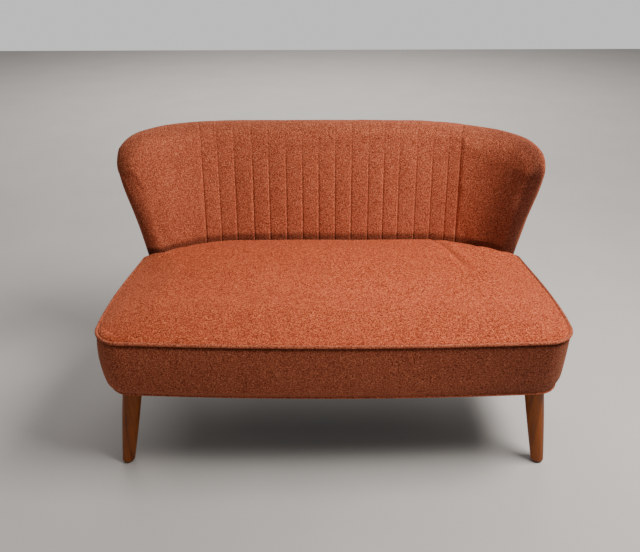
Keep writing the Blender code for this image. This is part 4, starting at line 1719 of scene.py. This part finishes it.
        def tone(key: Key) -> float:
            """Painted shade and light on the cloth.

            Args:
                key: Step along the wing, level, and step round the roll.

            Returns:
                The shade.
            """
            share, level, angle = shares[key[0]], levels[key[1]], angles[key[2]]
            s, _ = shape.edged(start, side * share, level, shape.back_half)
            plain = self.tone(s - side * shape.seam_line, level, angle)
            # Painted shade on the wing, far more on the right.
            return plain - self.wing_painted_shade(hand, share, level, angle)

        faces = self.rolled_faces(last_share, last_level, rim, self.roll_steps)
        name = f"wing_pad_{hand.name.lower()}"
        pad = self.bench.shell(name, faces, outer, inner, tone, "pile_cloth", VELVET)
        keys = sorted({key for face in faces for key in face})
        sewn = [k for k, key in enumerate(keys) if key[0] == 0 or key[1] == 0 or key[2] == self.roll_steps]
        hidden = list(range(len(keys), 2 * len(keys)))
        self.wing_stuffing.settle(pad, sewn + hidden)
        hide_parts(f"inside_wing_{hand.name.lower()}")
        return pad

    def outside(self) -> bpy.types.Object:
        """The cloth stretched over the rear of the back.

        Returns:
            The piece.
        """
        shape = self.shape
        half = [shape.seam_line * share for share in spread(40)]
        shares = [share * 2 for share in spread(self.wing_steps)[1:]]
        right = [(s, 0.0) for s in half] + [(shape.seam_line, share) for share in shares]
        columns = [(-s, -share) for s, share in reversed(right[1:])] + right
        levels = self.levels()
        angles = self.angles(-QUARTER, self.wrap, 8)
        width, height = len(columns) - 1, len(levels) - 1
        rim = [(0, r) for r in range(height + 1)] + [(c, height) for c in range(1, width + 1)]
        rim += [(width, r) for r in range(height - 1, -1, -1)]

        def surface(inner: float) -> Callable[[Key], Point]:
            """Surface of the cloth, that far inside its face.

            Args:
                inner: Distance inside the face.

            Returns:
                A function that turns a key into a point.
            """

            def point(key: Key) -> Point:
                """Point of that surface.

                Args:
                    key: Column, level, and step round the edge.

                Returns:
                    The point.
                """
                (start, share), level, angle = columns[key[0]], levels[key[1]], angles[key[2]]
                hollow = self.rear_hollow * math.sin(math.pi * key[0] / width)
                hollow *= math.sin(math.pi * min(level / 2, 1.0))
                tuck = self.rear_tuck * smooth(key[2] / (len(angles) - 1))
                wave = 0.0006 * uneven((start + share, level, 0.0), 5.0, 8.0)
                depth = hollow * smooth(-math.sin(angle)) + tuck + wave + inner
                return shape.padded_point(start, share, level, angle, depth)

            return point

        def tone(key: Key) -> float:
            """Painted shade on the cloth where it is sewn down at its edge."""
            return PLAIN - 0.22 * eased(key[2], 5, 3)

        faces = self.rolled_faces(width, height, rim, len(angles) - 1)
        outer, inner = surface(0.0), surface(shape.cloth)
        cloth = self.bench.shell("outside_back_cloth", faces, outer, inner, tone, "pile_cloth", VELVET)
        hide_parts("outside_back_cover")
        girth = 2 * shape.edge_length(shape.crest - shape.wing_corner)
        return cloth


# ---------------------------------------------------------------------- the legs


@dataclass
class TurnedLeg:
    """A tapered turned leg, splayed outwards."""

    bench: Workbench
    row: Row
    hand: Hand
    top_radius: float = 0.0262
    foot_radius: float = 0.0172
    swell: float = 0.0012
    foot_round: float = 0.0045
    rings: int = 26
    sides: int = 56
    foot_shade: float = 0.25
    sharp: float = math.radians(38)

    def build(self) -> bpy.types.Object:
        """Builds and dresses the leg.

        Returns:
            The piece.
        """
        place = f"{self.row.value}_{self.hand.name.lower()}"
        low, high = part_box(f"leg_{place}")
        foot = self.middle(f"glide_{place}")
        bolt = self.middle(f"leg_bolt_{place}")
        axis = (bolt - foot) / (bolt.z - foot.z)
        points, tones = [], []
        profile = self.profile(high[2] - low[2])
        for height, radius in profile:
            centre = foot + axis * (low[2] + height - foot.z)
            for k in range(self.sides):
                turn = FULL_TURN * k / self.sides
                x, y = centre.x + radius * math.cos(turn), centre.y + radius * math.sin(turn)
                points.append((x, y, low[2] + height))
                tones.append(mix(self.foot_shade, PLAIN, smooth(height / 0.02)))
        count, sides = len(profile), self.sides
        faces: list[tuple[int, ...]] = []
        for k in range(count - 1):
            low_ring, high_ring = k * sides, (k + 1) * sides
            for j in range(sides):
                step = (j + 1) % sides
                faces.append((low_ring + j, low_ring + step, high_ring + step, high_ring + j))
        faces += [tuple(reversed(range(sides))), tuple((count - 1) * sides + j for j in range(sides))]
        leg = self.bench.piece(f"turned_leg_{place}", points, faces, "stained_leg", LEG_STAIN, tones)
        leg.data.set_sharp_from_angle(angle=self.sharp)
        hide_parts(f"leg_{place}")
        return leg

    @staticmethod
    def middle(node: str) -> Vector:
        """Middle of a node's box."""
        low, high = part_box(node)
        return (Vector(low) + Vector(high)) / 2

    def profile(self, length: float) -> list[Place]:
        """Heights and radii from the foot's rounded end up to the top.

        Args:
            length: Length of the leg.

        Returns:
            Pairs of height and radius, from the foot up.
        """
        turned = []
        for share in spread(6):
            rise = self.foot_round * (1 - math.cos(QUARTER * share))
            turned.append((rise, self.foot_radius - self.foot_round * (1 - math.sin(QUARTER * share))))
        for share in spread(self.rings)[1:]:
            radius = mix(self.foot_radius, self.top_radius, share) + self.swell * math.sin(math.pi * share)
            turned.append((mix(self.foot_round, length, share), radius))
        return turned


# ---------------------------------------------------------- frame and dust cloth


@dataclass
class BareFrame:
    """Timber, springs and fastenings, which keep their shapes and are given their finishes."""

    bench: Workbench
    nodes: dict[str, bpy.types.Object]
    longest_edge: float = 0.045
    sharp: float = math.radians(50)

    def dress(self) -> int:
        """Gives each node of the frame its finish.

        Returns:
            How many nodes were dressed.
        """
        across = replace(RAW_BEECH, along=(0.05, 1.0, 1.0))
        upright = replace(RAW_BEECH, along=(1.0, 1.0, 0.06))
        deep = replace(RAW_BEECH, along=(1.0, 0.05, 1.0))
        choices = [
            ("seat_spring", "oiled_wire", OILED_WIRE),
            ("spring_clip", "zinc_steel", ZINC),
            ("leg_bolt", "zinc_steel", ZINC),
            ("glide", "glide_plastic", GLIDE_PLASTIC),
            ("side_rail", "beech_deep", deep),
            ("centre_brace", "beech_deep", deep),
            ("corner_block", "beech_deep", deep),
            ("wing_post", "beech_upright", upright),
            ("back_centre_post", "beech_upright", upright),
            ("front_rail", "beech_across", across),
            ("rear_rail", "beech_across", across),
            ("back_top_rail", "beech_across", across),
            ("lower_back_rail", "beech_across", across),
        ]
        dressed = 0
        for name, node in self.nodes.items():
            for start, finish_name, finish in choices:
                if name.startswith(start):
                    material = self.bench.material(finish_name, finish)
                    for slot in node.material_slots:
                        slot.material = material
                    dressed += 1
        return dressed

    def dust_cloth(self, sag: float = 0.006, cuts: int = 4) -> bpy.types.Object:
        """The thin black cloth under the frame.

        Args:
            sag: How far it hangs between the rails.
            cuts: How finely it is divided.

        Returns:
            The piece.
        """
        work = bmesh.new()
        work.from_mesh(self.nodes["dust_cover"].data)
        bmesh.ops.remove_doubles(work, verts=work.verts, dist=1e-6)
        for _ in range(cuts):
            long = [edge for edge in work.edges if edge.calc_length() > self.longest_edge]
            bmesh.ops.subdivide_edges(work, edges=long, cuts=1)
            bmesh.ops.triangulate(work, faces=work.faces)
        low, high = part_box("dust_cover")
        points = []
        for point in work.verts:
            across = 1 - (point.co.x / high[0]) ** 2
            deep = math.sin(math.pi * (point.co.y - low[1]) / (high[1] - low[1]))
            hang = sag * max(across, 0.0) * max(deep, 0.0) + 0.0006 * uneven(point.co, 14.0)
            points.append((point.co.x, point.co.y, point.co.z - max(hang, 0.0)))
        faces = [[vert.index for vert in face.verts] for face in work.faces]
        work.free()
        cloth = self.bench.piece("dust_cloth", points, faces, "black_cambric", CAMBRIC)
        cloth.data.set_sharp_from_angle(angle=self.sharp)
        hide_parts("dust_cover")
        return cloth


# --------------------------------------------------------------------- the studio


@dataclass(frozen=True)
class SoftLight:
    """A rectangular light that faces a point."""

    name: str
    place: Point
    aim: Point
    size: Place
    power: float
    colour: Colour

    def build(self) -> None:
        """Hangs the light."""
        light = bpy.data.lights.new(self.name, "AREA")
        light.shape = "RECTANGLE"
        light.size, light.size_y = self.size
        light.energy = self.power
        light.color = self.colour
        made = bpy.data.objects.new(self.name, light)
        made.location = self.place
        made.rotation_euler = (Vector(self.aim) - Vector(self.place)).to_track_quat("-Z", "Y").to_euler()
        bpy.context.scene.collection.objects.link(made)


CEILING_LIGHT = SoftLight(
    "ceiling_light", (1.35, -0.52, 2.5), (0.0, 0.05, 0.4), (1.3, 1.0), 86.0, (1.0, 0.97, 0.93)
)
REAR_LIGHT = SoftLight("rear_light", (0.0, 4.2, 3.2), (0.0, 4.2, 0.0), (5.0, 3.0), 170.0, (1.0, 0.97, 0.94))


@dataclass
class Studio:
    """Plain pale floor, soft light and the camera."""

    camera_place: Point = (-0.029, -1.6445, 1.301)
    pitch: float = math.radians(28.02)
    yaw: float = math.radians(0.196)
    roll: float = math.radians(-0.222)
    lens: float = 36.0
    sensor: float = 36.0
    view_end: float = 60.0
    floor_size: float = 14.0
    floor_shades: tuple[Colour, Colour] = ((0.60, 0.575, 0.55), (0.63, 0.605, 0.58))
    room_colour: Colour = (0.80, 0.79, 0.78)
    room_fill: float = 0.24
    room_seen: float = 0.95

    def build(self) -> None:
        """Builds the floor, the lights, the room's surroundings and the camera."""
        self.floor()
        CEILING_LIGHT.build()
        REAR_LIGHT.build()
        self.surroundings()
        self.camera()

    def floor(self) -> bpy.types.Object:
        """A wide pale floor.

        Returns:
            The floor.
        """
        half = self.floor_size / 2
        mesh = bpy.data.meshes.new("studio_floor")
        corners = [(-half, -half, 0.0), (half, -half, 0.0), (half, half, 0.0), (-half, half, 0.0)]
        mesh.from_pydata(corners, [], [(0, 1, 2, 3)])
        bench = NodeBench("floor_paint")
        cloud = bench.noise(bench.place(), 3.0, 3.0)
        colour = bench.ramp(cloud, list(zip((0.3, 0.7), self.floor_shades)))
        mesh.materials.append(bench.finish(colour, bench.span(cloud, 0.55, 0.65), Specular_IOR_Level=0.3))
        made = bpy.data.objects.new("studio_floor", mesh)
        bpy.context.scene.collection.objects.link(made)
        return made

    def surroundings(self) -> None:
        """Pale surroundings, which fill the shadows less than they show."""
        world = bpy.data.worlds.new("pale_room")
        world.use_nodes = True
        nodes, links = world.node_tree.nodes, world.node_tree.links
        background = nodes["Background"]
        background.inputs["Color"].default_value = (*self.room_colour, 1.0)
        seen = nodes.new("ShaderNodeLightPath")
        level = nodes.new("ShaderNodeMapRange")
        level.inputs["To Min"].default_value = self.room_fill
        level.inputs["To Max"].default_value = self.room_seen
        links.new(seen.outputs["Is Camera Ray"], level.inputs["Value"])
        links.new(level.outputs["Result"], background.inputs["Strength"])
        bpy.context.scene.world = world

    def camera(self) -> None:
        """The camera, looking down on the sofa from the front."""
        data = bpy.data.cameras.new("camera")
        data.sensor_fit = "HORIZONTAL"
        data.sensor_width = self.sensor
        data.lens = self.lens
        data.clip_end = self.view_end
        made = bpy.data.objects.new("camera", data)
        turn = Matrix.Rotation(self.yaw, 4, "Z") @ Matrix.Rotation(QUARTER - self.pitch, 4, "X")
        made.matrix_world = Matrix.Translation(self.camera_place) @ turn @ Matrix.Rotation(self.roll, 4, "Z")
        bpy.context.scene.collection.objects.link(made)
        bpy.context.scene.camera = made


def main() -> None:
    """Builds the sofa's looks round the frame, and logs how many points each piece has."""
    logging.basicConfig(level=logging.INFO, format="%(name)s: %(message)s")
    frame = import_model()
    bench = Workbench()
    shape = Shape.from_frame()
    built = Seat(bench, shape).build()
    built += Back(bench, shape).build()
    built += [TurnedLeg(bench, row, hand).build() for row in Row for hand in Hand]
    bare = BareFrame(bench, frame["nodes"])
    LOG.info("%d frame nodes dressed", bare.dress())
    built.append(bare.dust_cloth())
    for piece in built:
        LOG.info("%s: %d points", piece.name, len(piece.data.vertices))
    Studio().build()


if __name__ == "__main__":
    main()
